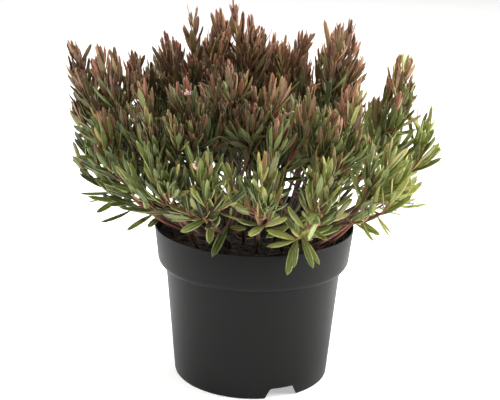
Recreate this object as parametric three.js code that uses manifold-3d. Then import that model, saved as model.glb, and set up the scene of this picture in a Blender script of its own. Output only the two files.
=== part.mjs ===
// A blue ice bog rosemary, an evergreen dwarf shrub, in a round nursery pot.
// Millimetres, +Z up. The origin is on the surface that the pot stands on, at the pot's axis.
// The view in which the shrub was measured looks along +Y, with +X to the right.
//
// Pieces: the moulded pot, the peat that fills it, and the leafy stems. Each stem is one grown
// thing, with its side shoots and leaves on it, and stands in a plain hole in the peat.

import * as THREE from 'three';
import { mergeVertices } from 'three/addons/utils/BufferGeometryUtils.js';
import Module from 'manifold-3d';

const wasm = await Module();
wasm.setup();

// Driving dimensions

const POT_HEIGHT = 134.3;
const RIM_RADIUS = 85;
const BAND_LOW_HEIGHT = 106.3; // the wide band at the top goes down to here
const BAND_LOW_RADIUS = 82;
const SHOULDER_HEIGHT = 99.3; // the rounded shoulder under the band ends here
const SHOULDER_RADIUS = 75.2;
const FOOT_RADIUS = 66.6;
const FOOT_ROUNDING = 1.9;
const POT_WALL = 1.6;
const BASE_UNDERSIDE = 11; // the pot's floor is raised above the drainage notches
const POT_SIDES = 36;

const NOTCH_COUNT = 3;
const NOTCH_FIRST_ANGLE = 24; // degrees from the front, towards +X
const NOTCH_WIDTH_LOW = 31;
const NOTCH_WIDTH_TOP = 21;
const NOTCH_HEIGHT = 9.4;
const NOTCH_REACH = 16; // how far the cut goes in from the foot's edge

const PEAT_LEVEL = 124;
const PEAT_UNEVENNESS = 1.2;
const PEAT_WAVE = 12;
const PEAT_GAP = 0.6; // between the peat and the pot
const PEAT_SIDES = 28;
const PEAT_RING = 0.6; // a ring of the peat's surface, as a part of its radius
const HOLE_DEPTH = 10;
const HOLE_SIZE = 1.5; // of a hole, by the size of the stem that stands in it

const STEM_FOOT_RADIUS = 2.0;
const SHOOT_FOOT_RADIUS = 1.4;
const SHOOT_TIP_RADIUS = 1.05;
const STEM_SINK = 9; // how deep a stem stands in the peat
const STEM_UPRIGHT = 3; // a stem leaves the peat upright, to this height above it
const RIM_RISE = 34; // a stem that leans out first climbs, to clear the pot's rim
const STEM_SECTIONS = 4;
const SHOOT_SECTIONS = 2;
const WOOD_SIDES = 3;

const FOOT_DRAWN_IN = [0.46, 0.36]; // a foot's distance from the axis by its tip's, low and high stems
const FOOT_SWING = 2;
const STEM_OUT = 0.6; // how far out a stem bends near its foot, as a part of its whole reach
const STEM_RISE = 0.26; // and how far it has climbed there
const STEM_TIP_HOLD = 0.46; // the upright part of a stem, towards its tip
const STEM_BARE = [38, 76]; // the leafless foot of a low stem, and of a high one

const SIDE_DROP = [8, 34]; // how far below the stem's tip a side shoot's tip stands
const SIDE_SPREAD = 9; // and how far aside, with half of its drop added
const SIDE_LENGTH = [52, 86];
const SIDE_FORK_HOLD = 0.22; // the part of a side shoot that still follows the stem
const SIDE_OUT = 0.16;
const SIDE_TIP_HOLD = 0.4;
const SIDE_BARE = 9;
const FORK_LOWEST = 0.7; // no side shoot forks off lower than this part of the stem's length

const TIP_LEAN = [0.02, 0.3]; // how a tip leans out, at the crown's middle and at its edge
const TIP_SWING = 0.08;
const SPRAWL_LEAN = 1.1; // the further lean of the lowest tips
const SPRAWL_LEVEL = 145;
const SPRAWL_FADE = 45;

const LEAF_LENGTH_LOW = 28; // the full leaves near the pot
const LEAF_LENGTH_HIGH = 16.5; // and those at the top of the shrub
const LEAF_SLIMNESS = 0.2; // width by length
const LEAF_KEEL = 1.0; // depth of the keel under the blade
const LEAF_ROOT_WIDTH = 0.7;
const LEAF_ROOT_KEEL = 0.5;
const LEAF_LIFT = 0.18; // how much every leaf turns up to the light
const LEAF_LOW_LEVEL = 150; // the height of the lowest leaves
const LEAF_LEVELS = 140; // and how far above it the highest ones are
const LEAF_NECK = 0.15; // where along the leaf it is clear of its shoot
const LEAF_WIDEST = 0.6; // and where it is widest
const LEAF_TURN = 137.508; // degrees from each leaf to the next round the shoot
const GAP_AT_TIP = 1.7; // from leaf to leaf along the shoot
const GAP_FULL = 3.9;
const GAP_GROWTH = 45; // the distance below the tip at which the gap is full
const YOUNG_REACH = 16; // leaves nearer the tip than this are not yet full size
const YOUNG_SIZE = 0.62; // size of the leaf at the very tip, as a part of the full size
const LEAF_RISE_TIP = 11; // degrees between shoot and leaf, at the tip
const LEAF_RISE_LOW = 60; // and far below it
const LEAF_RISE_REACH = 92;
const LEAF_ARCH = [4, 20]; // degrees that a leaf bends up along its length, at the tip and far below
const LEAF_TURN_SWING = 20;
const LEAF_RISE_SWING = 12;
const LEAF_SIZE_SWING = 0.2;
const LEAF_ARCH_SWING = 10;

const CROWN_REACH_X = 147; // no shoot's tip stands outside this ellipse
const CROWN_REACH_Y = 127;
const CROWN_ROOM_X = 156; // and no leaf reaches out of this one
const CROWN_ROOM_Y = 139;
const NODE_CLEARANCE = 0.35; // from anything on one stem to anything on another
const POT_ROOM = 2; // from a leaf's middle line to the pot's rim and to the peat
const LEAF_GIRTH = 0.42; // half of the width that a leaf takes up, as a part of its full width
const BRONZE_LEVEL = 236; // stems that end above this are bronze, lower ones green

// The leaves that the solids show, counted from a shoot's tip.
const LEAVES_SHOWN = [1, 6, 13, 24, 38];

// How a leaf turns aside from what it would touch: degrees round its shoot, and degrees up.
const LEAF_DODGES = [
  [0, 0], [22, 0], [-22, 0], [0, -9], [0, 10], [40, 0], [-40, 0], [25, 12], [-25, 12], [60, -6],
  [-60, -6], [90, 0], [-90, 0], [120, 8], [-120, 8], [180, 0],
];

// Where the tip of each stem stands, and how many side shoots it has.
// Stems seen against the light, from the left to the right of the view.
const OUTLINE_STEMS = [
  { tip: [-151, -10, 280], sides: 2 },
  { tip: [-124, -44, 284], sides: 2 },
  { tip: [-102, 2, 268], sides: 2 },
  { tip: [-77, 24, 281], sides: 2 },
  { tip: [-54, -8, 308], sides: 2 },
  { tip: [-34, 14, 302], sides: 2 },
  { tip: [-20, -14, 315], sides: 2 },
  { tip: [-8, 28, 299], sides: 2 },
  { tip: [20, -6, 285], sides: 2 },
  { tip: [35, 14, 288], sides: 1 },
  { tip: [63, -16, 302], sides: 2 },
  { tip: [74, 8, 299], sides: 1 },
  { tip: [80, -34, 216], sides: 1 },
  { tip: [121, -2, 273], sides: 1 },
  { tip: [145, 18, 212], sides: 2 },
];

// Stems on the side that faces the view, from the top row to the bottom one.
const FRONT_STEMS = [
  { tip: [-88, -82, 262], sides: 2 },
  { tip: [-54, -84, 264], sides: 2 },
  { tip: [-22, -76, 278], sides: 2 },
  { tip: [10, -82, 268], sides: 2 },
  { tip: [40, -80, 262], sides: 2 },
  { tip: [76, -76, 260], sides: 2 },
  { tip: [104, -78, 214], sides: 2 },
  { tip: [-118, -66, 232], sides: 2 },
  { tip: [-80, -112, 220], sides: 2 },
  { tip: [-44, -118, 216], sides: 2 },
  { tip: [4, -126, 217], sides: 2 },
  { tip: [55, -112, 212], sides: 2 },
];

// Low stems that lean out over the rim.
const LOW_STEMS = [
  { tip: [-139, -19, 200], sides: 1 },
  { tip: [-114, -38, 166], sides: 0 },
  { tip: [124, -30, 190], sides: 1 },
  { tip: [118, -46, 170], sides: 0 },
  { tip: [46, -74, 146], sides: 0 },
  { tip: [-50, -97, 212], sides: 0 },
  { tip: [-106, -20, 150], sides: 0 },
];

// Leaves of low stems as they stand in the view: from where, to where, how wide, the degrees that
// they bend up by, and which way they face. These are all that such a stem's own leader bears.
const TO_THE_FRONT = [0, -0.75, 0.65];
const PLACED_LEAVES = {
  27: [
    { root: [-111, -14, 166], tip: [-138, -22, 177], width: 5.4, arch: -14, looks: [0, -0.3, 0.95] },
    { root: [-127, -6, 179], tip: [-154, -4, 186], width: 5.0, arch: -14, looks: [0, -0.2, 1] },
    { root: [-120, -14, 184], tip: [-148, -24, 195], width: 6.0, arch: -14, looks: [0, -0.8, 0.6] },
    { root: [-133, -10, 190], tip: [-151, -12, 207], width: 4.0, arch: -14, looks: TO_THE_FRONT },
    { root: [-118, -10, 162], tip: [-146, -16, 161], width: 5.0, arch: 10, looks: [0, -0.2, 1] },
    { root: [-138, -6, 195], tip: [-146, 2, 215], width: 4.2, arch: -14, looks: TO_THE_FRONT },
  ],
  28: [
    { root: [-108, -24, 156], tip: [-137, -34, 164], width: 5.8, arch: 12, looks: [0, -0.5, 0.85] },
    { root: [-96, -30, 155], tip: [-119, -44, 167], width: 6.2, arch: -14, looks: [0, -0.7, 0.7] },
    { root: [-109, -30, 166], tip: [-125, -46, 186], width: 6.0, arch: -14, looks: TO_THE_FRONT },
    { root: [-102, -40, 165], tip: [-101, -50, 186], width: 6.4, arch: -14, looks: [0, -1, 0.2] },
    { root: [-87, -32, 150], tip: [-89, -56, 174], width: 6.4, arch: -14, looks: [0.2, -1, 0.3] },
  ],
  30: [
    { root: [84, -36, 151], tip: [101, -62, 147], width: 5.6, arch: -14, looks: [-0.1, -0.6, 0.8] },
    { root: [97, -42, 159], tip: [111, -56, 147], width: 5.0, arch: -14, looks: [0.9, -0.3, 0.8] },
    { root: [116, -44, 166], tip: [140, -40, 168], width: 4.6, arch: 24, looks: [0, -0.2, 1] },
    { root: [110, -44, 166], tip: [126, -36, 190], width: 5.8, arch: -14, looks: TO_THE_FRONT },
    { root: [117, -46, 170], tip: [134, -50, 189], width: 5.0, arch: -14, looks: TO_THE_FRONT },
  ],
  31: [
    { root: [27, -66, 157], tip: [3, -80, 168], width: 6.2, arch: -14, looks: TO_THE_FRONT },
    { root: [34, -78, 149], tip: [11, -88, 144], width: 5.8, arch: 8, looks: [0, -0.5, 0.85] },
    { root: [34, -80, 148], tip: [26, -97, 124], width: 6.8, arch: -24, looks: TO_THE_FRONT },
    { root: [40, -82, 147], tip: [47, -96, 130], width: 5.6, arch: -24, looks: TO_THE_FRONT },
    { root: [38, -82, 148], tip: [61, -84, 161], width: 5.6, arch: -14, looks: TO_THE_FRONT },
    { root: [40, -82, 147], tip: [48, -86, 168], width: 4.2, arch: -14, looks: TO_THE_FRONT },
  ],
  32: [
    { root: [-34, -62, 162], tip: [-35, -82, 143], width: 6.6, arch: -20, looks: TO_THE_FRONT },
    { root: [-22, -46, 150], tip: [-32, -92, 136], width: 7.0, arch: -18, looks: TO_THE_FRONT },
    { root: [-20, -44, 148], tip: [-7, -68, 151], width: 5.2, arch: -20, looks: TO_THE_FRONT },
    { root: [-46, -84, 200], tip: [-66, -96, 208], width: 5.4, arch: -14, looks: TO_THE_FRONT },
    { root: [-48, -86, 210], tip: [-54, -94, 230], width: 4.8, arch: -14, looks: TO_THE_FRONT },
  ],
  33: [
    { root: [-104, -22, 146], tip: [-127, -30, 141], width: 4.8, arch: 16, looks: [0, -0.3, 0.95] },
    { root: [-86, -22, 140], tip: [-104, -44, 139], width: 5.0, arch: -14, looks: [0.1, -0.5, 0.85] },
    { root: [-96, -20, 146], tip: [-86, -40, 154], width: 5.0, arch: -14, looks: TO_THE_FRONT },
    { root: [-106, -22, 150], tip: [-128, -12, 159], width: 5.0, arch: -14, looks: TO_THE_FRONT },
  ],
};

// The far side of the shrub is filled by rule, with stems spread evenly round it.
const BACK_STEM_COUNT = 11;
const BACK_INNER_RADIUS = 70;
const BACK_OUTER_RADIUS = 117;
const BACK_FIRST_ANGLE = 26; // degrees from +X, turning to +Y
const BACK_LAST_ANGLE = 150;
const BACK_INNER_HEIGHT = 270;
const BACK_OUTER_HEIGHT = 231;
const BACK_SWING = 4;
const BACK_HEIGHT_SWING = 10;

const SEED = 20126;
const CURVE_STEPS = 24;
const NEAREST_STEPS = 60;
const UP = new THREE.Vector3(0, 0, 1);
const ACROSS = new THREE.Vector3(1, 0, 0);

const rad = THREE.MathUtils.degToRad;
const point = (x, y, z) => new THREE.Vector3(x, y, z);
const mix = (low, high, part) => low + (high - low) * Math.min(1, Math.max(0, part));

// A seeded draw from 0 to 1 that depends only on its keys.
function draw(...keys) {
  let bits = SEED;
  for (const key of keys) {
    bits = Math.imul(bits ^ key, 0x85ebca6b);
    bits ^= bits >>> 13;
    bits = Math.imul(bits, 0xc2b2ae35);
    bits ^= bits >>> 16;
  }
  return (bits >>> 0) / 2 ** 32;
}

const swing = (size, ...keys) => size * (2 * draw(...keys) - 1);

// Solids

// A three.js geometry as a solid: shared corners merged, and flat triangles at a pole removed.
function solidOf(geometry) {
  const bare = geometry.clone();
  bare.deleteAttribute('normal');
  bare.deleteAttribute('uv');
  const merged = mergeVertices(bare, 1e-4);
  const kept = [];
  for (let i = 0; i < merged.index.count; i += 3) {
    const [a, b, c] = [0, 1, 2].map((step) => merged.index.getX(i + step));
    if (a !== b && b !== c && c !== a) {
      kept.push(a, b, c);
    }
  }
  return new wasm.Manifold(new wasm.Mesh({
    numProp: 3,
    vertProperties: new Float32Array(merged.attributes.position.array),
    triVerts: new Uint32Array(kept),
  }));
}

function solidFrom(corners, faces) {
  return new wasm.Manifold(new wasm.Mesh({
    numProp: 3,
    vertProperties: new Float32Array(corners.flatMap((corner) => corner.toArray())),
    triVerts: new Uint32Array(faces),
  }));
}

function geometryOf(solid) {
  const mesh = solid.getMesh();
  const geometry = new THREE.BufferGeometry();
  geometry.setAttribute('position', new THREE.BufferAttribute(mesh.vertProperties, 3));
  geometry.setIndex(new THREE.BufferAttribute(mesh.triVerts, 1));
  geometry.computeVertexNormals();
  return geometry;
}

// A closed body through rings of corners. Each ring runs anticlockwise, seen from its far side.
function loft(rings) {
  const corners = rings.flat();
  const sides = rings[0].length;
  const faces = [];
  for (let ring = 0; ring + 1 < rings.length; ring += 1) {
    for (let side = 0; side < sides; side += 1) {
      const a = ring * sides + side;
      const b = ring * sides + (side + 1) % sides;
      faces.push(a, b, b + sides, a, b + sides, a + sides);
    }
  }
  const last = (rings.length - 1) * sides;
  for (let side = 1; side + 1 < sides; side += 1) {
    faces.push(0, side + 1, side);
    faces.push(last, last + side, last + side + 1);
  }
  return solidFrom(corners, faces);
}

// A profile of [radius, height] pairs, turned round the Z axis.
function turned(profile, sides) {
  const outline = profile.map(([radius, height]) => new THREE.Vector2(radius, height));
  return new THREE.LatheGeometry(outline, sides).rotateX(Math.PI / 2);
}

// The pot

// The rounded shoulder, a quarter of an ellipse, from the taper up to the band.
function shoulder(inset, steps) {
  const rise = BAND_LOW_HEIGHT - SHOULDER_HEIGHT;
  const reach = BAND_LOW_RADIUS - SHOULDER_RADIUS;
  return Array.from({ length: steps + 1 }, (_, step) => {
    const turn = (step / steps) * Math.PI / 2;
    return [
      SHOULDER_RADIUS - inset + reach * Math.sin(turn),
      SHOULDER_HEIGHT + rise * (1 - Math.cos(turn)),
    ];
  });
}

function potProfile() {
  const floorTop = BASE_UNDERSIDE + POT_WALL;
  const lip = POT_WALL / 4;
  return [
    [0, BASE_UNDERSIDE],
    [FOOT_RADIUS - POT_WALL - 1, BASE_UNDERSIDE],
    [FOOT_RADIUS - POT_WALL - FOOT_ROUNDING, 0],
    [FOOT_RADIUS - FOOT_ROUNDING, 0],
    [FOOT_RADIUS, FOOT_ROUNDING],
    ...shoulder(0, 3),
    [RIM_RADIUS, POT_HEIGHT - lip],
    [RIM_RADIUS - lip, POT_HEIGHT],
    [RIM_RADIUS - POT_WALL, POT_HEIGHT],
    ...shoulder(POT_WALL, 2).reverse(),
    [FOOT_RADIUS - POT_WALL + 1, floorTop],
    [0, floorTop],
  ];
}

// One drainage notch, a trapezium cut out through the foot.
function notch(index) {
  const outline = new THREE.Shape([
    new THREE.Vector2(-NOTCH_WIDTH_LOW / 2, -1),
    new THREE.Vector2(NOTCH_WIDTH_LOW / 2, -1),
    new THREE.Vector2(NOTCH_WIDTH_TOP / 2, NOTCH_HEIGHT),
    new THREE.Vector2(-NOTCH_WIDTH_TOP / 2, NOTCH_HEIGHT),
  ]);
  const cutter = new THREE.ExtrudeGeometry(outline, { depth: 2 * NOTCH_REACH, bevelEnabled: false });
  cutter.rotateX(Math.PI / 2);
  cutter.translate(0, -FOOT_RADIUS + NOTCH_REACH, 0);
  cutter.rotateZ(rad(NOTCH_FIRST_ANGLE + (360 / NOTCH_COUNT) * index));
  return solidOf(cutter);
}

function potSolid() {
  let pot = solidOf(turned(potProfile(), POT_SIDES));
  for (let index = 0; index < NOTCH_COUNT; index += 1) {
    pot = pot.subtract(notch(index));
  }
  return pot;
}

// The peat

function peatSolid(stems) {
  const surfaceRadius = RIM_RADIUS - POT_WALL - PEAT_GAP
    - (RIM_RADIUS - BAND_LOW_RADIUS) * (POT_HEIGHT - PEAT_LEVEL) / (POT_HEIGHT - BAND_LOW_HEIGHT);
  const bottom = BASE_UNDERSIDE + POT_WALL + PEAT_GAP;
  const profile = [
    [0, bottom],
    [FOOT_RADIUS - POT_WALL - 2, bottom],
    ...shoulder(POT_WALL + PEAT_GAP, 2),
    [surfaceRadius, PEAT_LEVEL],
    [surfaceRadius * PEAT_RING, PEAT_LEVEL],
    [0, PEAT_LEVEL],
  ];
  const body = turned(profile, PEAT_SIDES);
  const corners = body.attributes.position;
  for (let i = 0; i < corners.count; i += 1) {
    const [x, y] = [corners.getX(i), corners.getY(i)];
    if (corners.getZ(i) > PEAT_LEVEL - 1 && Math.hypot(x, y) < surfaceRadius - 1) {
      corners.setZ(i, PEAT_LEVEL + PEAT_UNEVENNESS * Math.sin(x / PEAT_WAVE) * Math.cos(y / PEAT_WAVE));
    }
  }
  let peat = solidOf(body);
  for (const { foot, shoots } of stems) {
    const section = woodRings(shoots[0])[0]
      .map((corner) => corner.sub(foot).multiplyScalar(HOLE_SIZE).add(foot));
    const hole = [PEAT_LEVEL - HOLE_DEPTH, PEAT_LEVEL + HOLE_DEPTH]
      .map((level) => section.map((corner) => corner.clone().setZ(level)));
    peat = peat.subtract(loft(hole));
  }
  return peat;
}

// How the shrub grows

// A curve from its foot to its tip, with its length measured along it.
class Shoot {
  constructor(controls, footRadius, bareLength, sections) {
    this.curve = new THREE.CubicBezierCurve3(...controls);
    this.points = this.curve.getPoints(CURVE_STEPS);
    this.footRadius = footRadius;
    this.bareLength = bareLength;
    this.sections = sections;
    this.reach = [0];
    for (let i = 1; i < this.points.length; i += 1) {
      this.reach.push(this.reach[i - 1] + this.points[i].distanceTo(this.points[i - 1]));
    }
    this.length = this.reach[CURVE_STEPS];
  }

  // The place, the direction and the two directions across, at a distance below the tip.
  at(below) {
    const wanted = this.length - below;
    let step = 1;
    while (step < CURVE_STEPS && this.reach[step] < wanted) {
      step += 1;
    }
    const part = (wanted - this.reach[step - 1]) / (this.reach[step] - this.reach[step - 1]);
    const place = this.points[step - 1].clone().lerp(this.points[step], part);
    const along = this.curve.getTangent((step - 1 + part) / CURVE_STEPS);
    const side = ACROSS.clone().addScaledVector(along, -along.x).normalize();
    return { place, along, side, other: along.clone().cross(side) };
  }

  radiusAt(below) {
    return mix(SHOOT_TIP_RADIUS, this.footRadius, below / this.length);
  }

  // The distances below the tip at which the straight sections of the wood start and end.
  joints() {
    return Array.from({ length: this.sections + 1 }, (_, step) => (
      this.length * (1 - step / this.sections)
    ));
  }

  // The middle of the wood, which runs straight from joint to joint.
  onWood(below) {
    const part = this.sections * (1 - below / this.length);
    const low = Math.min(Math.floor(part), this.sections - 1);
    const joints = this.joints();
    return this.at(joints[low]).place.lerp(this.at(joints[low + 1]).place, part - low);
  }

  // The point of the wood's middle that is nearest to a spot.
  nearest(spot) {
    return Array.from({ length: NEAREST_STEPS + 1 }, (_, step) => (
      this.onWood(this.length * step / NEAREST_STEPS)
    )).reduce((best, place) => (place.distanceTo(spot) < best.distanceTo(spot) ? place : best));
  }
}

// Keeps a tip inside the crown.
function insideCrown(tip) {
  const reach = Math.hypot(tip.x / CROWN_REACH_X, tip.y / CROWN_REACH_Y);
  if (reach > 1) {
    tip.x /= reach;
    tip.y /= reach;
  }
  return tip;
}

// The direction in which a shoot ends: upright, leaning out a little at the crown's edge.
function tipDirection(tip, ...keys) {
  const lean = mix(...TIP_LEAN, Math.hypot(tip.x / CROWN_REACH_X, tip.y / CROWN_REACH_Y))
    + mix(SPRAWL_LEAN, 0, (tip.z - SPRAWL_LEVEL) / SPRAWL_FADE);
  const level = Math.hypot(tip.x, tip.y) || 1;
  return point(
    lean * tip.x / level + swing(TIP_SWING, ...keys, 1),
    lean * tip.y / level + swing(TIP_SWING, ...keys, 2),
    1,
  ).normalize();
}

// The stem's foot in the peat lies under its tip, drawn in towards the pot's axis.
function footOf(tip, number) {
  const drawnIn = mix(...FOOT_DRAWN_IN, (tip.z - 170) / 50);
  return point(
    tip.x * drawnIn + swing(FOOT_SWING, number, 91),
    tip.y * drawnIn + swing(FOOT_SWING, number, 92),
    PEAT_LEVEL + STEM_UPRIGHT,
  );
}

// The stem itself climbs out of the peat, bends out over the rim and ends upright.
function leader(tip, number) {
  const foot = footOf(tip, number);
  const out = point(tip.x - foot.x, tip.y - foot.y, 0);
  const rise = tip.z - foot.z;
  const firstRise = Math.min(Math.max(STEM_RISE * rise, RIM_RISE), rise);
  const first = foot.clone().addScaledVector(out, STEM_OUT).addScaledVector(UP, firstRise);
  const last = tip.clone().addScaledVector(tipDirection(tip, number), -STEM_TIP_HOLD * rise);
  const bareLength = mix(...STEM_BARE, (rise - 40) / 120);
  const shoot = new Shoot([foot, first, last, tip], STEM_FOOT_RADIUS, bareLength, STEM_SECTIONS);
  return { foot, shoot };
}

// A side shoot forks off well below its own tip, and ends beside the stem's tip and below it.
function sideShoot(main, tip, number, index, count) {
  const drop = mix(...SIDE_DROP, (index + draw(number, index, 21)) / count)
    * mix(0.5, 1, (tip.z - 150) / 80);
  const spread = SIDE_SPREAD + 0.5 * drop;
  const turn = 2 * Math.PI * (index / count + draw(number, 22)) + swing(0.5, number, index, 23);
  const end = insideCrown(point(
    tip.x + spread * Math.cos(turn),
    tip.y + spread * Math.sin(turn),
    tip.z - drop,
  ));
  const length = mix(...SIDE_LENGTH, draw(number, index, 24)) * mix(0.45, 1, (tip.z - 150) / 100);
  const below = Math.min(drop + length, main.length * FORK_LOWEST);
  const fork = main.onWood(below);
  const span = end.distanceTo(fork);
  const away = end.clone().sub(fork).setZ(0).normalize();
  const first = fork.clone()
    .addScaledVector(main.at(below).along, SIDE_FORK_HOLD * span)
    .addScaledVector(away, SIDE_OUT * span);
  const last = end.clone().addScaledVector(tipDirection(end, number, index), -SIDE_TIP_HOLD * span);
  return new Shoot([fork, first, last, end], SHOOT_FOOT_RADIUS, SIDE_BARE, SHOOT_SECTIONS);
}

function backStems() {
  return Array.from({ length: BACK_STEM_COUNT }, (_, index) => {
    const outer = index % 2;
    const part = (index + 0.5) / BACK_STEM_COUNT;
    const angle = rad(mix(BACK_FIRST_ANGLE, BACK_LAST_ANGLE, part));
    const radius = outer ? BACK_OUTER_RADIUS : BACK_INNER_RADIUS;
    const height = outer ? BACK_OUTER_HEIGHT : BACK_INNER_HEIGHT;
    return {
      tip: [
        radius * Math.cos(angle) + swing(BACK_SWING, index, 81),
        radius * Math.sin(angle) + swing(BACK_SWING, index, 82),
        height + swing(BACK_HEIGHT_SWING, index, 83),
      ],
      sides: 2,
    };
  });
}

function growStems() {
  const plan = [...OUTLINE_STEMS, ...FRONT_STEMS, ...LOW_STEMS, ...backStems()];
  return plan.map(({ tip, sides }, number) => {
    const end = point(...tip);
    const { foot, shoot } = leader(end, number);
    const shoots = [shoot];
    for (let index = 0; index < sides; index += 1) {
      shoots.push(sideShoot(shoot, end, number, index, sides));
    }
    return { number, foot, shoots };
  });
}

// One leaf, turned round its shoot by an angle and rising from it by another.
function leafAt(shoot, below, angle, rise, size, arch) {
  const { along, side, other } = shoot.at(below);
  const place = shoot.onWood(below);
  const outward = side.clone().multiplyScalar(Math.cos(angle)).addScaledVector(other, Math.sin(angle));
  const direction = along.clone().multiplyScalar(Math.cos(rise))
    .addScaledVector(outward, Math.sin(rise))
    .addScaledVector(UP, LEAF_LIFT)
    .normalize();
  const face = along.clone().multiplyScalar(Math.sin(rise)).addScaledVector(outward, -Math.cos(rise));
  face.addScaledVector(direction, -face.dot(direction)).normalize();
  const full = mix(LEAF_LENGTH_LOW, LEAF_LENGTH_HIGH, (place.z - LEAF_LOW_LEVEL) / LEAF_LEVELS);
  return { place, direction, face, length: full * size, width: full * size * LEAF_SLIMNESS, arch };
}

// A leaf that is placed by hand grows from the nearest wood of its stem.
function placedLeaf({ root, tip, width, arch, looks }, shoots) {
  const wanted = point(...root);
  const place = shoots.map((shoot) => shoot.nearest(wanted))
    .reduce((best, spot) => (spot.distanceTo(wanted) < best.distanceTo(wanted) ? spot : best));
  const line = point(...tip).sub(place);
  const length = line.length();
  line.normalize();
  const face = point(...looks);
  face.addScaledVector(line, -face.dot(line)).normalize();
  const half = rad(arch) / 2;
  const direction = line.multiplyScalar(Math.cos(half)).addScaledVector(face, -Math.sin(half));
  face.addScaledVector(direction, -face.dot(direction)).normalize();
  return { place, direction, face, length, width, arch: rad(arch) };
}

// Where every leaf of a shoot grows, from its tip down, and how each one stands.
function leafPlan(shoot, number, index) {
  const plan = [];
  const turn = 360 * draw(number, index, 31);
  const end = shoot.length - shoot.bareLength;
  for (let below = 1, leaf = 0; below < end; leaf += 1) {
    plan.push({
      leaf,
      below,
      angle: rad(turn + LEAF_TURN * leaf + swing(LEAF_TURN_SWING, number, index, leaf, 1)),
      rise: rad(mix(LEAF_RISE_TIP, LEAF_RISE_LOW, below / LEAF_RISE_REACH)
        + swing(LEAF_RISE_SWING, number, index, leaf, 2)),
      size: mix(YOUNG_SIZE, 1, below / YOUNG_REACH)
        * (1 + swing(LEAF_SIZE_SWING, number, index, leaf, 3)),
      arch: rad(mix(...LEAF_ARCH, below / LEAF_RISE_REACH)
        + swing(LEAF_ARCH_SWING, number, index, leaf, 4)),
    });
    below += mix(GAP_AT_TIP, GAP_FULL, below / GAP_GROWTH);
  }
  return plan;
}

// A leaf's middle line, bent towards the side it faces: its place and directions part way along.
function leafStation({ place, direction, face, length, arch }, part) {
  const bend = arch * part;
  const centre = place.clone()
    .addScaledVector(direction, length * part * Math.cos(bend / 2))
    .addScaledVector(face, length * part * Math.sin(bend / 2));
  const up = face.clone().multiplyScalar(Math.cos(bend)).addScaledVector(direction, -Math.sin(bend));
  return { centre, up, across: direction.clone().cross(face) };
}

// The blade: flat above and keeled below, from a narrow root inside the shoot to its tip.
function leafSolid(leaf) {
  const rings = [[0, LEAF_ROOT_WIDTH, LEAF_ROOT_KEEL], [LEAF_WIDEST, leaf.width, LEAF_KEEL]];
  const corners = rings.flatMap(([part, width, keel]) => {
    const { centre, up, across } = leafStation(leaf, part);
    return [
      centre.clone().addScaledVector(across, width / 2),
      centre.clone().addScaledVector(up, -keel),
      centre.clone().addScaledVector(across, -width / 2),
    ];
  });
  const { centre, up } = leafStation(leaf, 1);
  corners.push(centre.addScaledVector(up, -LEAF_KEEL / 3));
  const faces = [0, 2, 1];
  for (let side = 0; side < 3; side += 1) {
    const next = (side + 1) % 3;
    faces.push(side, next, next + 3, side, next + 3, side + 3, side + 3, next + 3, 6);
  }
  return solidFrom(corners, faces);
}

// A shoot's wood: a tapering tube with few sides.
function woodRings(shoot) {
  return shoot.joints().map((below) => {
    const { place, side, other } = shoot.at(below);
    const radius = shoot.radiusAt(below);
    return Array.from({ length: WOOD_SIDES }, (_, corner) => {
      const angle = 2 * Math.PI * (corner + 0.5) / WOOD_SIDES;
      return place.clone()
        .addScaledVector(side, radius * Math.cos(angle))
        .addScaledVector(other, radius * Math.sin(angle));
    });
  });
}

// Keeping clear

// The shortest distance between two straight lines, each given by its two ends.
function lineDistance(from, to, otherFrom, otherTo) {
  const one = to.clone().sub(from);
  const two = otherTo.clone().sub(otherFrom);
  const apart = from.clone().sub(otherFrom);
  const [a, b, c] = [one.lengthSq(), one.dot(two), one.dot(apart)];
  const [e, f] = [two.lengthSq(), two.dot(apart)];
  const slant = a * e - b * b;
  const clamp = (part) => Math.min(1, Math.max(0, part));
  let first = slant > 1e-9 ? clamp((b * f - c * e) / slant) : 0;
  let second = (b * first + f) / e;
  if (second < 0 || second > 1) {
    second = clamp(second);
    first = clamp((b * second - c) / a);
  }
  return from.clone().addScaledVector(one, first)
    .distanceTo(otherFrom.clone().addScaledVector(two, second));
}

// What stands already, as straight lines with a thickness, each owned by a stem.
class Crowd {
  constructor() {
    this.lines = [];
  }

  add(owner, lines) {
    lines.forEach((line) => this.lines.push({ owner, ...line }));
  }

  leavesRoomFor(owner, lines) {
    return lines.every(({ from, to, radius }) => this.lines.every((line) => (
      line.owner === owner
      || lineDistance(from, to, line.from, line.to) > radius + line.radius + NODE_CLEARANCE
    )));
  }
}

function woodLines(shoot) {
  const joints = shoot.joints();
  return joints.slice(1).map((high, section) => {
    const low = joints[section];
    return { from: shoot.at(low).place, to: shoot.at(high).place, radius: shoot.radiusAt(low) };
  });
}

function leafLines(leaf) {
  const [root, middle, tip] = [LEAF_NECK, LEAF_WIDEST, 1]
    .map((part) => leafStation(leaf, part).centre);
  const radius = LEAF_GIRTH * leaf.width;
  return [{ from: root, to: middle, radius }, { from: middle, to: tip, radius }];
}

// Whether a point is outside the crown, or too near to the pot's rim or to the peat.
function isAstray({ x, y, z }) {
  if (Math.hypot(x / CROWN_ROOM_X, y / CROWN_ROOM_Y) > 1) {
    return true;
  }
  const radius = Math.hypot(x, y);
  const overRim = radius > RIM_RADIUS - 2 * POT_WALL - POT_ROOM && radius < RIM_RADIUS + POT_ROOM;
  return (overRim && z < POT_HEIGHT + POT_ROOM) || (radius < RIM_RADIUS && z < PEAT_LEVEL + POT_ROOM);
}

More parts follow.
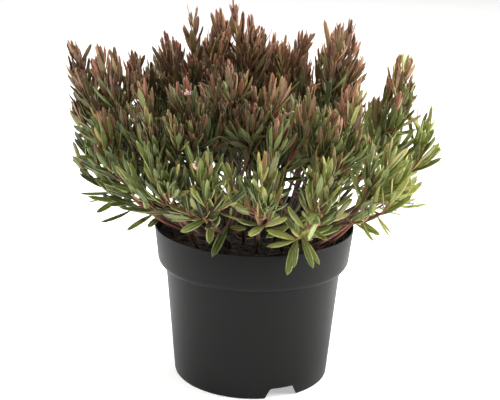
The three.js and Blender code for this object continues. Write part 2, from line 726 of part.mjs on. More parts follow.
// A leaf that would touch something turns aside, until it is clear; one that can't isn't built.
function clearLeaf(shoot, place, owner, crowd) {
  for (const [aside, raised] of LEAF_DODGES) {
    const leaf = leafAt(
      shoot,
      place.below,
      place.angle + rad(aside),
      place.rise + rad(raised),
      place.size,
      place.arch,
    );
    const lines = leafLines(leaf);
    const ends = [LEAF_WIDEST, 1].map((part) => leafStation(leaf, part).centre);
    if (!ends.some(isAstray) && crowd.leavesRoomFor(owner, lines)) {
      crowd.add(owner, lines);
      return leaf;
    }
  }
  return null;
}

// A stem, with its side shoots, and with the leaves that it has room for, as one body.
function stemSolid(stem, crowd) {
  let solid = null;
  stem.shoots.forEach((shoot, index) => {
    const rings = woodRings(shoot);
    if (index) {
      solid = solid.add(loft(rings));
    } else {
      const sunk = rings[0].map((corner) => corner.clone().setZ(PEAT_LEVEL - STEM_SINK));
      solid = loft([sunk, ...rings]);
    }
  });
  const placed = PLACED_LEAVES[stem.number] ?? [];
  for (const leaf of placed.map((one) => placedLeaf(one, stem.shoots))) {
    const lines = leafLines(leaf);
    if (crowd.leavesRoomFor(stem.number, lines)) {
      crowd.add(stem.number, lines);
      solid = solid.add(leafSolid(leaf));
    }
  }
  stem.shoots.forEach((shoot, index) => {
    if (index === 0 && placed.length) {
      return;
    }
    for (const place of leafPlan(shoot, stem.number, index)) {
      const leaf = isShown(place.leaf) && clearLeaf(shoot, place, stem.number, crowd);
      if (leaf) {
        solid = solid.add(leafSolid(leaf));
      }
    }
  });
  return solid;
}

// The leaves that the solid shows, at true size: fewer, even on all sides, out to the tips.
function isShown(leaf) {
  return LEAVES_SHOWN.includes(leaf);
}

// Materials

const potPlastic = new THREE.MeshStandardMaterial({ color: 0x2f3030, roughness: 0.55 });
const peatSoil = new THREE.MeshStandardMaterial({ color: 0x241c17, roughness: 0.95 });
const greenFoliage = new THREE.MeshStandardMaterial({ color: 0x5c7440, roughness: 0.6 });
const bronzeFoliage = new THREE.MeshStandardMaterial({ color: 0x6f4c3c, roughness: 0.6 });

// Assembly

function meshOf(name, solid, material) {
  const mesh = new THREE.Mesh(geometryOf(solid), material);
  mesh.name = name;
  return mesh;
}

const group = new THREE.Group();
const stems = growStems();
const crowd = new Crowd();
for (const { number, shoots } of stems) {
  shoots.forEach((shoot) => crowd.add(number, woodLines(shoot)));
}
group.add(meshOf('pot', potSolid(), potPlastic));
group.add(meshOf('peat', peatSolid(stems), peatSoil));
for (const stem of stems) {
  const name = `leafy_stem_${String(stem.number + 1).padStart(2, '0')}`;
  const isHigh = stem.shoots[0].points[CURVE_STEPS].z > BRONZE_LEVEL;
  group.add(meshOf(name, stemSolid(stem, crowd), isHigh ? bronzeFoliage : greenFoliage));
}

export default group;
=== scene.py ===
"""The looks of a potted blue ice bog rosemary, an evergreen dwarf shrub in a nursery pot.

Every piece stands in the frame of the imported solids: metres, +Z up, the origin under the pot.
The shrub grows here by the rule and the seeded draws that its solids grew by, in millimetres,
so that each finer stem and leaf lies where its solid lies.
"""

import logging
import math
from collections.abc import Callable, Iterable, Sequence
from dataclasses import dataclass
from enum import Enum
from typing import NamedTuple

import bmesh
import bpy
import numpy as np
from bpy.types import Material, NodeTree, Object
from mathutils import Matrix, Vector


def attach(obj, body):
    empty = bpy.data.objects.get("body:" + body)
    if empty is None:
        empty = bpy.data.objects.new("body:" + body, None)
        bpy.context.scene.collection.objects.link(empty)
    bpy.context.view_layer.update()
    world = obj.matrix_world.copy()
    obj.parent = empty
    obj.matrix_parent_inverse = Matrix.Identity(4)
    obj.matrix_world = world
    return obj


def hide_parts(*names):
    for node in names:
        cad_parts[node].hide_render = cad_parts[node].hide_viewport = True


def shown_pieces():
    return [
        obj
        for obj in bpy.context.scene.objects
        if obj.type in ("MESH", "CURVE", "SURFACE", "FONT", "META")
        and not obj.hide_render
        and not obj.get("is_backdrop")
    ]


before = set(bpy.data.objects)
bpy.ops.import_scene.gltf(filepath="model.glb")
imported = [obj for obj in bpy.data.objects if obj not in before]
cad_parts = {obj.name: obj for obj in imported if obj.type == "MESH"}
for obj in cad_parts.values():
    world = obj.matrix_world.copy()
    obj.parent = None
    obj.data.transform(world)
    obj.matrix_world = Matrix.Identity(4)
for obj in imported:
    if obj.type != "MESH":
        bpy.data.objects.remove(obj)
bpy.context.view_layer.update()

Pair = tuple[float, float]
Triple = tuple[float, float, float]

LOG = logging.getLogger("bog_rosemary")
BODY = "root"
MM = 0.001
UP = Vector((0.0, 0.0, 1.0))
ACROSS = Vector((1.0, 0.0, 0.0))

SEED = 20126
KEY_BITS = 0xFFFFFFFF
CURVE_STEPS = 24  # that a shoot's length is measured in
NEAREST_STEPS = 60  # that the point nearest to a spot is looked for in
LEAF_TURN = 137.508  # degrees from each leaf to the next round the shoot
NO_LEAVES = 999.0  # a bare length longer than any shoot
MERGED_WITHIN = 0.02  # millimetres: corners this close become one
CENTRED = 0.1  # half widths: how near to its line a column of corners is
KNOBBLY = 0.12  # how much the wood's radius swings
SAME_RING = 0.001  # by the tube's length
RING_DIGITS = 4

# The Mix node's setting and sockets when it mixes colours.
COLOURS = {"data_type": "RGBA"}
MIX_FACTOR = 0
MIX_FIRST = 6
MIX_SECOND = 7
MIX_RESULT = 2


class Slot(Enum):
    """Names of material slots."""

    PLASTIC = "pot_plastic"
    SOIL = "peat"
    GREEN = "leafy_green"
    BRONZE = "leafy_bronze"


# Draws


def draw(*keys: int) -> float:
    """A seeded draw that depends only on its keys, the last of which says what it is drawn for.

    Args:
        keys: The numbers of what it is drawn for.

    Returns:
        A number from 0 to 1.
    """
    bits = SEED
    for key in keys:
        bits = ((bits ^ key) * 0x85EBCA6B) & KEY_BITS
        bits ^= bits >> 13
        bits = (bits * 0xC2B2AE35) & KEY_BITS
        bits ^= bits >> 16
    return bits / 2**32


def swing(size: float, *keys: int) -> float:
    """A seeded draw from minus size to plus size."""
    return size * (2 * draw(*keys) - 1)


def mix(low: float, high: float, part: float) -> float:
    """The value part way from low to high, never past either."""
    return low + (high - low) * min(1.0, max(0.0, part))


def share(value: float, limits: Pair) -> float:
    """How far a value is from the first limit to the second, which may be past either."""
    return (value - limits[0]) / (limits[1] - limits[0])


# Colours and nodes


def linear(code: str) -> tuple[float, float, float, float]:
    """Turns an sRGB hex colour to linear light.

    Args:
        code: The colour, as six hex digits.

    Returns:
        Red, green, blue and a full alpha.
    """
    parts = [int(code[start:start + 2], 16) / 255 for start in (0, 2, 4)]
    red, green, blue = (p / 12.92 if p <= 0.04045 else ((p + 0.055) / 1.055) ** 2.4 for p in parts)
    return red, green, blue, 1.0


def add_node(
    tree: NodeTree,
    kind: str,
    settings: dict[str, object] | None = None,
    inputs: dict[str | int, object] | None = None,
) -> bpy.types.Node:
    """Adds a node with its settings and links.

    Args:
        tree: The material's node tree.
        kind: The node's type.
        settings: Attributes of the node, by name.
        inputs: A socket to link, or a value to set, for each input by name or number.

    Returns:
        The new node.
    """
    node = tree.nodes.new(kind)
    for name, value in (settings or {}).items():
        setattr(node, name, value)
    for key, value in (inputs or {}).items():
        if isinstance(value, bpy.types.NodeSocket):
            tree.links.new(value, node.inputs[key])
        else:
            node.inputs[key].default_value = value
    return node


def new_material(name: str) -> tuple[Material, NodeTree]:
    """Makes a material without a node.

    Args:
        name: The finish that the material is named for.

    Returns:
        The material and its node tree.
    """
    made = bpy.data.materials.new(name)
    made.use_nodes = True
    made.node_tree.nodes.clear()
    return made, made.node_tree


def finished(made: Material, inputs: dict[str | int, object]) -> Material:
    """Ends a material's nodes in its shader.

    Args:
        made: The material.
        inputs: What the shader is given.

    Returns:
        The material.
    """
    shader = add_node(made.node_tree, "ShaderNodeBsdfPrincipled", inputs=inputs)
    add_node(made.node_tree, "ShaderNodeOutputMaterial", inputs={"Surface": shader.outputs["BSDF"]})
    return made


# Finishes. The sizes of their patterns are in millimetres.


@dataclass(frozen=True)
class MouldedPlastic:
    """Recycled polypropylene, injection moulded: a dark grey that shines softly at its sides."""

    name: str = "moulded polypropylene"
    dark: str = "090909"
    pale: str = "0e0e0d"
    roughness: float = 0.46
    roughness_swing: Pair = (-0.05, 0.07)  # with the flow marks
    ior: float = 1.49
    specular: float = 0.15
    cloud: float = 26.0  # the faint flow marks of the melt
    cloud_stretch: Triple = (1.0, 1.0, 0.35)  # they run up the wall
    grain: float = 1.3  # spark-eroded grain, truly 0.2 mm, drawn coarser so that it shows
    grain_depth: float = 0.03
    grain_strength: float = 0.6

    def material(self) -> Material:
        """Builds the plastic's nodes.

        Returns:
            The material.
        """
        made, tree = new_material(self.name)
        place = add_node(tree, "ShaderNodeTexCoord")
        stretched = add_node(tree, "ShaderNodeMapping", inputs={
            "Vector": place.outputs["Object"], "Scale": self.cloud_stretch})
        clouds = add_node(tree, "ShaderNodeTexNoise", inputs={
            "Vector": stretched.outputs["Vector"], "Scale": 1 / (self.cloud * MM), "Detail": 3.0})
        colour = add_node(tree, "ShaderNodeMix", COLOURS, {
            MIX_FACTOR: clouds.outputs["Fac"], MIX_FIRST: linear(self.dark),
            MIX_SECOND: linear(self.pale)})
        grain = add_node(tree, "ShaderNodeTexNoise", inputs={
            "Vector": place.outputs["Object"], "Scale": 1 / (self.grain * MM), "Detail": 2.0})
        bump = add_node(tree, "ShaderNodeBump", inputs={
            "Height": grain.outputs["Fac"], "Distance": self.grain_depth * MM,
            "Strength": self.grain_strength})
        shinier, duller = self.roughness_swing
        gloss = add_node(tree, "ShaderNodeMapRange", inputs={
            "Value": clouds.outputs["Fac"], "To Min": self.roughness + shinier,
            "To Max": self.roughness + duller})
        return finished(made, {
            "Base Color": colour.outputs[MIX_RESULT], "Roughness": gloss.outputs["Result"],
            "Normal": bump.outputs["Normal"], "IOR": self.ior, "Specular IOR Level": self.specular})


@dataclass(frozen=True)
class PeatCompost:
    """Moist peat with fibres in it: near black, with brown crumbs."""

    name: str = "peat compost"
    dark: str = "0e0b09"
    pale: str = "281d16"
    roughness: float = 0.95
    crumb: float = 3.2
    crumb_edge: Pair = (0.42, 0.75)  # where in the noise the crumbs turn pale
    grit: float = 0.9  # truly about 0.3 mm, drawn coarser so that it shows
    grit_depth: float = 0.5

    def material(self) -> Material:
        """Builds the peat's nodes.

        Returns:
            The material.
        """
        made, tree = new_material(self.name)
        place = add_node(tree, "ShaderNodeTexCoord")
        crumbs = add_node(tree, "ShaderNodeTexNoise", inputs={
            "Vector": place.outputs["Object"], "Scale": 1 / (self.crumb * MM), "Detail": 4.0})
        spread = add_node(tree, "ShaderNodeMapRange", inputs={
            "Value": crumbs.outputs["Fac"], "From Min": self.crumb_edge[0],
            "From Max": self.crumb_edge[1]})
        colour = add_node(tree, "ShaderNodeMix", COLOURS, {
            MIX_FACTOR: spread.outputs["Result"], MIX_FIRST: linear(self.dark),
            MIX_SECOND: linear(self.pale)})
        grit = add_node(tree, "ShaderNodeTexNoise", inputs={
            "Vector": place.outputs["Object"], "Scale": 1 / (self.grit * MM), "Detail": 3.0})
        bump = add_node(tree, "ShaderNodeBump", inputs={
            "Height": grit.outputs["Fac"], "Distance": self.grit_depth * MM, "Strength": 1.0})
        return finished(made, {
            "Base Color": colour.outputs[MIX_RESULT], "Normal": bump.outputs["Normal"],
            "Roughness": self.roughness})


@dataclass(frozen=True)
class LeafSkin:
    """A waxy evergreen leaf: grooved, with a painted highlight at its rolled margins, bronze where it grew
    in cold.
    """

    name: str = "waxy leaf"
    greens: tuple[str, ...] = ("1e2712", "3a471d", "64702e", "82873c", "9c9e4e")  # dark to pale, picked by a leaf's lot, which also carries painted shade and painted light
    warms: tuple[str, ...] = ("382f1a", "584b2c", "795336", "966b49", "b29062")  # olive to bronze
    flushed: str = "a5493a"  # the young leaves at a bronze tip
    # painted highlight where the rolled margins catch light, green and bronze; the pale midrib's own
    # colour is the same
    margin_highlight_and_rib: str = "a5aa6e"
    bronze_margin_highlight_and_rib: str = "b08a72"
    margin_highlight_edge: Pair = (0.62, 1.0)  # where it starts, by the half blade
    margin_highlight_cover: float = 0.75
    rib: float = 0.3  # how wide the pale midrib is, by the half blade
    rib_cover: float = 0.4
    under: str = "84935c"
    bronze_under: str = "80604c"
    bloom: float = 0.35  # how much of the underside's own colour covers the leaf's
    roughness: float = 0.45
    ior: float = 1.42
    mottle: float = 2.4  # truly about 1 mm, drawn coarser so that it shows
    mottle_edge: Pair = (0.3, 0.7)
    mottle_shades: Pair = (0.82, 1.14)  # what it darkens and lightens by
    bronze_mottle: float = 0.5  # how much it breaks up the bronze
    bronze_edge: Pair = (0.45, 0.95)
    veins: Triple = (5.0, 26.0, 1.0)  # across a half blade and along it
    vein_depth: float = 0.06
    vein_strength: float = 0.7

    def material(self) -> Material:
        """Builds the leaf's nodes, from where a point is on its blade and from its tone.

        Returns:
            The material.
        """
        made, tree = new_material(self.name)
        blade = add_node(tree, "ShaderNodeAttribute", {"attribute_name": "blade"})
        on_blade = add_node(tree, "ShaderNodeSeparateXYZ", inputs={"Vector": blade.outputs["Vector"]})
        across = add_node(tree, "ShaderNodeMath", {"operation": "ABSOLUTE"}, {0: on_blade.outputs["X"]})
        tone = add_node(tree, "ShaderNodeAttribute", {"attribute_name": "tone"})
        tones = add_node(tree, "ShaderNodeSeparateXYZ", inputs={"Vector": tone.outputs["Vector"]})
        place = add_node(tree, "ShaderNodeTexCoord")
        mottle = add_node(tree, "ShaderNodeTexNoise", inputs={
            "Vector": place.outputs["Object"], "Scale": 1 / (self.mottle * MM), "Detail": 3.0})
        ramps = []
        for stops in (self.greens, self.warms):
            ramp = add_node(tree, "ShaderNodeValToRGB", inputs={"Fac": tones.outputs["Y"]})
            row = ramp.color_ramp.elements
            row.remove(row[1])
            row[0].color = linear(stops[0])
            for index, code in enumerate(stops[1:], 1):
                row.new(index / (len(stops) - 1)).color = linear(code)
            ramps.append(ramp.outputs["Color"])
        green, warm = ramps
        tip_blush = add_node(tree, "ShaderNodeMix", COLOURS, {
            MIX_FACTOR: tones.outputs["Z"], MIX_FIRST: warm, MIX_SECOND: linear(self.flushed)})
        patchy = add_node(tree, "ShaderNodeMath", {"operation": "MULTIPLY_ADD"}, {
            0: mottle.outputs["Fac"], 1: self.bronze_mottle, 2: tones.outputs["X"]})
        bronzed = add_node(tree, "ShaderNodeMapRange", inputs={
            "Value": patchy.outputs["Value"], "From Min": self.bronze_edge[0],
            "From Max": self.bronze_edge[1]})
        upper, margin_highlight_and_rib, below = (
            add_node(tree, "ShaderNodeMix", COLOURS, {
                MIX_FACTOR: bronzed.outputs["Result"], MIX_FIRST: plain, MIX_SECOND: bronze})
            for plain, bronze in (
                (green, tip_blush.outputs[MIX_RESULT]), (linear(self.margin_highlight_and_rib), linear(self.bronze_margin_highlight_and_rib)),
                (linear(self.under), linear(self.bronze_under))))
        # painted highlight along the rolled margins
        at_margin_highlight = add_node(tree, "ShaderNodeMapRange", inputs={
            "Value": across.outputs["Value"], "From Min": self.margin_highlight_edge[0],
            "From Max": self.margin_highlight_edge[1], "To Max": self.margin_highlight_cover})
        highlight_edged = add_node(tree, "ShaderNodeMix", COLOURS, {
            MIX_FACTOR: at_margin_highlight.outputs["Result"], MIX_FIRST: upper.outputs[MIX_RESULT],
            MIX_SECOND: margin_highlight_and_rib.outputs[MIX_RESULT]})
        # the pale midrib, in its own colour, which is the same as the margin highlight's
        at_rib = add_node(tree, "ShaderNodeMapRange", inputs={
            "Value": across.outputs["Value"], "From Min": 0.0, "From Max": self.rib,
            "To Min": self.rib_cover, "To Max": 0.0})
        ribbed = add_node(tree, "ShaderNodeMix", COLOURS, {
            MIX_FACTOR: at_rib.outputs["Result"], MIX_FIRST: highlight_edged.outputs[MIX_RESULT],
            MIX_SECOND: margin_highlight_and_rib.outputs[MIX_RESULT]})
        covered = add_node(tree, "ShaderNodeMath", {"operation": "MULTIPLY"}, {
            0: on_blade.outputs["Z"], 1: self.bloom})
        both = add_node(tree, "ShaderNodeMix", COLOURS, {
            MIX_FACTOR: covered.outputs["Value"], MIX_FIRST: ribbed.outputs[MIX_RESULT],
            MIX_SECOND: below.outputs[MIX_RESULT]})
        shade = add_node(tree, "ShaderNodeMapRange", inputs={
            "Value": mottle.outputs["Fac"], "From Min": self.mottle_edge[0],
            "From Max": self.mottle_edge[1], "To Min": self.mottle_shades[0],
            "To Max": self.mottle_shades[1]})
        shaded = add_node(tree, "ShaderNodeMix", {**COLOURS, "blend_type": "MULTIPLY"}, {
            MIX_FACTOR: 1.0, MIX_FIRST: both.outputs[MIX_RESULT], MIX_SECOND: shade.outputs["Result"]})
        veins = add_node(tree, "ShaderNodeMapping", inputs={
            "Vector": blade.outputs["Vector"], "Scale": self.veins})
        net = add_node(tree, "ShaderNodeTexNoise", inputs={
            "Vector": veins.outputs["Vector"], "Scale": 1.0, "Detail": 2.0})
        bump = add_node(tree, "ShaderNodeBump", inputs={
            "Height": net.outputs["Fac"], "Distance": self.vein_depth * MM,
            "Strength": self.vein_strength})
        return finished(made, {
            "Base Color": shaded.outputs[MIX_RESULT], "Normal": bump.outputs["Normal"],
            "Roughness": self.roughness, "IOR": self.ior})


@dataclass(frozen=True)
class Bark:
    """The shrub's wood: grey brown and flaking when old, red or yellow green when young."""

    name: str = "thin bark"
    old: str = "35251c"
    flake: str = "6f5a49"
    red: str = "80452f"
    yellow: str = "ccac66"
    roughness: float = 0.7
    flake_length: float = 4.0
    flake_stretch: Triple = (3.0, 3.0, 1.0)  # flakes are long and narrow
    flake_edge: Pair = (0.4, 0.7)
    flake_depth: float = 0.2
    flake_strength: float = 0.8

    def material(self) -> Material:
        """Builds the bark's nodes, from a twig's age and its own tint.

        Returns:
            The material.
        """
        made, tree = new_material(self.name)
        wood = add_node(tree, "ShaderNodeAttribute", {"attribute_name": "wood"})
        parts = add_node(tree, "ShaderNodeSeparateXYZ", inputs={"Vector": wood.outputs["Vector"]})
        place = add_node(tree, "ShaderNodeTexCoord")
        drawn = add_node(tree, "ShaderNodeMapping", inputs={
            "Vector": place.outputs["Object"], "Scale": self.flake_stretch})
        flakes = add_node(tree, "ShaderNodeTexNoise", inputs={
            "Vector": drawn.outputs["Vector"], "Scale": 1 / (self.flake_length * MM), "Detail": 4.0})
        shown = add_node(tree, "ShaderNodeMapRange", inputs={
            "Value": flakes.outputs["Fac"], "From Min": self.flake_edge[0],
            "From Max": self.flake_edge[1]})
        old = add_node(tree, "ShaderNodeMix", COLOURS, {
            MIX_FACTOR: shown.outputs["Result"], MIX_FIRST: linear(self.old),
            MIX_SECOND: linear(self.flake)})
        young = add_node(tree, "ShaderNodeMix", COLOURS, {
            MIX_FACTOR: parts.outputs["Y"], MIX_FIRST: linear(self.red),
            MIX_SECOND: linear(self.yellow)})
        colour = add_node(tree, "ShaderNodeMix", COLOURS, {
            MIX_FACTOR: parts.outputs["X"], MIX_FIRST: young.outputs[MIX_RESULT],
            MIX_SECOND: old.outputs[MIX_RESULT]})
        bump = add_node(tree, "ShaderNodeBump", inputs={
            "Height": flakes.outputs["Fac"], "Distance": self.flake_depth * MM,
            "Strength": self.flake_strength})
        return finished(made, {
            "Base Color": colour.outputs[MIX_RESULT], "Normal": bump.outputs["Normal"],
            "Roughness": self.roughness})


@dataclass(frozen=True)
class BudScale:
    """A closed flower bud: pale pink wax, deeper pink in streaks."""

    name: str = "waxy bud"
    pale: str = "ecd3c8"
    pink: str = "c98f86"
    roughness: float = 0.45
    streak: float = 1.5

    def material(self) -> Material:
        """Builds the bud's nodes.

        Returns:
            The material.
        """
        made, tree = new_material(self.name)
        place = add_node(tree, "ShaderNodeTexCoord")
        streaks = add_node(tree, "ShaderNodeTexNoise", inputs={
            "Vector": place.outputs["Object"], "Scale": 1 / (self.streak * MM), "Detail": 2.0})
        colour = add_node(tree, "ShaderNodeMix", COLOURS, {
            MIX_FACTOR: streaks.outputs["Fac"], MIX_FIRST: linear(self.pale),
            MIX_SECOND: linear(self.pink)})
        return finished(made, {"Base Color": colour.outputs[MIX_RESULT], "Roughness": self.roughness})


@dataclass(frozen=True)
class PaperSweep:
    """A studio's matt paper sweep: near white, with the faintest tooth."""

    name: str = "matt paper"
    pale: str = "f6f6f5"
    shaded: str = "efefee"
    roughness: float = 0.9
    tooth: float = 9.0  # truly about 0.2 mm, drawn coarser so that it shows
    glow: float = 0.5  # light from under the paper

    def material(self) -> Material:
        """Builds the paper's nodes.

        Returns:
            The material.
        """
        made, tree = new_material(self.name)
        place = add_node(tree, "ShaderNodeTexCoord")
        tooth = add_node(tree, "ShaderNodeTexNoise", inputs={
            "Vector": place.outputs["Object"], "Scale": 1 / (self.tooth * MM)})
        colour = add_node(tree, "ShaderNodeMix", COLOURS, {
            MIX_FACTOR: tooth.outputs["Fac"], MIX_FIRST: linear(self.pale),
            MIX_SECOND: linear(self.shaded)})
        return finished(made, {
            "Base Color": colour.outputs[MIX_RESULT], "Emission Color": colour.outputs[MIX_RESULT],
            "Emission Strength": self.glow, "Roughness": self.roughness})


# Modelling by hand


def deselect_all() -> None:
    """Deselects every object, the solids of the frame among them."""
    bpy.ops.object.select_all(action="DESELECT")


def primitive(add: Callable[..., object], name: str, **sizes: object) -> Object:
    """Adds a primitive with nothing else selected.

    Args:
        add: The operator that adds it.
        name: The new piece's name.
        sizes: What the operator is told.

    Returns:
        The new object, which is the active one.
    """
    deselect_all()
    add(**sizes)
    made = bpy.context.active_object
    made.name = name
    made.data.name = name
    return made


def start_editing() -> None:
    """Enters edit mode on the active object, to work on corners."""
    bpy.ops.object.mode_set(mode="EDIT")
    bpy.context.tool_settings.mesh_select_mode = (True, False, False)


def stop_editing() -> None:
    """Goes back to object mode."""
    bpy.ops.object.mode_set(mode="OBJECT")


def select_corners(piece: Object, wanted: Callable[[bmesh.types.BMVert], bool]) -> None:
    """Selects the corners of the piece in edit mode that pass a test.

    Args:
        piece: The piece being edited.
        wanted: The test, given a corner.
    """
    body = bmesh.from_edit_mesh(piece.data)
    bpy.ops.mesh.select_all(action="DESELECT")
    for corner in body.verts:
        corner.select = wanted(corner)
    body.select_flush(True)
    bmesh.update_edit_mesh(piece.data)


def apply_modifier(piece: Object, kind: str, **settings: object) -> None:
    """Adds a modifier to the active piece and applies it.

    Args:
        piece: The piece, which is active.
        kind: The modifier's type.
        settings: Attributes of the modifier, by name.
    """
    modifier = piece.modifiers.new(kind.title(), kind)
    for name, value in settings.items():
        setattr(modifier, name, value)
    bpy.ops.object.modifier_apply(modifier=modifier.name)


def turned(name: str, profile: Sequence[Pair], steps: int) -> Object:
    """Draws a profile corner by corner and spins it round the Z axis.

    Args:
        name: The new piece's name.
        profile: Radius and height in millimetres, from the axis round to the axis.
        steps: How many steps the turn has.

    Returns:
        The closed piece, with its faces outwards.
    """
    piece = primitive(bpy.ops.mesh.primitive_plane_add, name, size=MM)
    start_editing()
    bpy.ops.mesh.select_all(action="SELECT")
    bpy.ops.mesh.merge(type="CENTER")
    radius, height = profile[0]
    bpy.ops.transform.translate(value=(radius * MM, 0, height * MM))
    for (radius, height), (next_radius, next_height) in zip(profile, profile[1:]):
        step = ((next_radius - radius) * MM, 0, (next_height - height) * MM)
        bpy.ops.mesh.extrude_region_move(TRANSFORM_OT_translate={"value": step})
    bpy.ops.mesh.select_all(action="SELECT")
    bpy.ops.mesh.spin(steps=steps, angle=2 * math.pi, center=(0, 0, 0), axis=(0, 0, 1))
    bpy.ops.mesh.select_all(action="SELECT")
    bpy.ops.mesh.remove_doubles(threshold=MERGED_WITHIN * MM)
    bpy.ops.mesh.normals_make_consistent(inside=False)
    stop_editing()
    return piece


def quarter(start: Pair, end: Pair, steps: int, outward_first: bool) -> list[Pair]:
    """A quarter of an ellipse between two points of a profile.

    Args:
        start: Where it starts.
        end: Where it ends.
        steps: How many straight steps it has.
        outward_first: Whether it leaves its start along the radius.

    Returns:
        The points after the start, the end among them.
    """
    points = []
    for step in range(1, steps + 1):
        turn = step / steps * math.pi / 2
        early, late = math.sin(turn), 1 - math.cos(turn)
        along, up = (early, late) if outward_first else (late, early)
        points.append((start[0] + (end[0] - start[0]) * along, start[1] + (end[1] - start[1]) * up))
    return points


# Forms and their copies


@dataclass(frozen=True)
class Form:
    """A form modelled once, whose copies are bent into place.

    Attributes:
        corners: Its corners, as rows of three numbers.
        faces: The corners of each face.
        under: For each corner, 1 where it is on the underside, or else 0.
    """

    corners: np.ndarray
    faces: list[tuple[int, ...]]
    under: np.ndarray

    @staticmethod
    def taken_from(piece: Object, top_corners: int | None = None) -> "Form":
        """Takes the form out of a modelled piece, which is then removed.

        Args:
            piece: The modelled piece.
            top_corners: How many of its first corners are on its upper side, if it has one.

        Returns:
            The form.
        """
        corners = np.array([corner.co for corner in piece.data.vertices], float)
        faces = [tuple(face.vertices) for face in piece.data.polygons]
        under = np.zeros(len(corners))
        if top_corners is not None:
            under[top_corners:] = 1.0
        bpy.data.meshes.remove(piece.data)
        return Form(corners, faces, under)


class Bundle:
    """Copies of forms, gathered into the one mesh of a piece."""

    def __init__(self) -> None:
        """Starts with nothing in it."""
        self.corners: list[np.ndarray] = []
        self.faces: list[tuple[int, ...]] = []
        self.values: dict[str, list[np.ndarray]] = {}
        self.count = 0

    def add(self, form: Form, corners: np.ndarray, values: dict[str, np.ndarray]) -> None:
        """Adds one copy.

        Args:
            form: The form that it is a copy of.
            corners: The places of the copy's corners, in millimetres.
            values: Rows of three numbers for its corners, by the attribute's name.
        """
        base = self.count
        self.corners.append(corners * MM)
        self.faces.extend(tuple(base + corner for corner in face) for face in form.faces)
        for name, rows in values.items():
            self.values.setdefault(name, []).append(rows)
        self.count += len(corners)

    def piece(self, name: str) -> Object:
        """Makes the piece's mesh of all the copies.

        Args:
            name: The piece's name.

        Returns:
            The piece, smooth, at the origin.
        """
        mesh = bpy.data.meshes.new(name)
        mesh.from_pydata(np.concatenate(self.corners), [], self.faces)
        for attribute_name, rows in self.values.items():
            attribute = mesh.attributes.new(attribute_name, "FLOAT_VECTOR", "POINT")
            attribute.data.foreach_set("vector", np.concatenate(rows).astype(np.float32).ravel())
        mesh.polygons.foreach_set("use_smooth", [True] * len(mesh.polygons))
        mesh.update()
        made = bpy.data.objects.new(name, mesh)
        bpy.context.scene.collection.objects.link(made)
        return made


def hand_over(piece: Object, material: Material, nodes: Iterable[str]) -> None:
    """Dresses a piece in its material, attaches it to the body that it rides on, hides the solids that it
    stands for, and reports it.

    Args:
        piece: The finished piece.
        material: Its material.
        nodes: The solids that it stands for.
    """
    piece.data.materials.append(material)
    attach(piece, BODY)
    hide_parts(*nodes)
    LOG.info("%s: %d faces", piece.name, len(piece.data.polygons))


# The pot


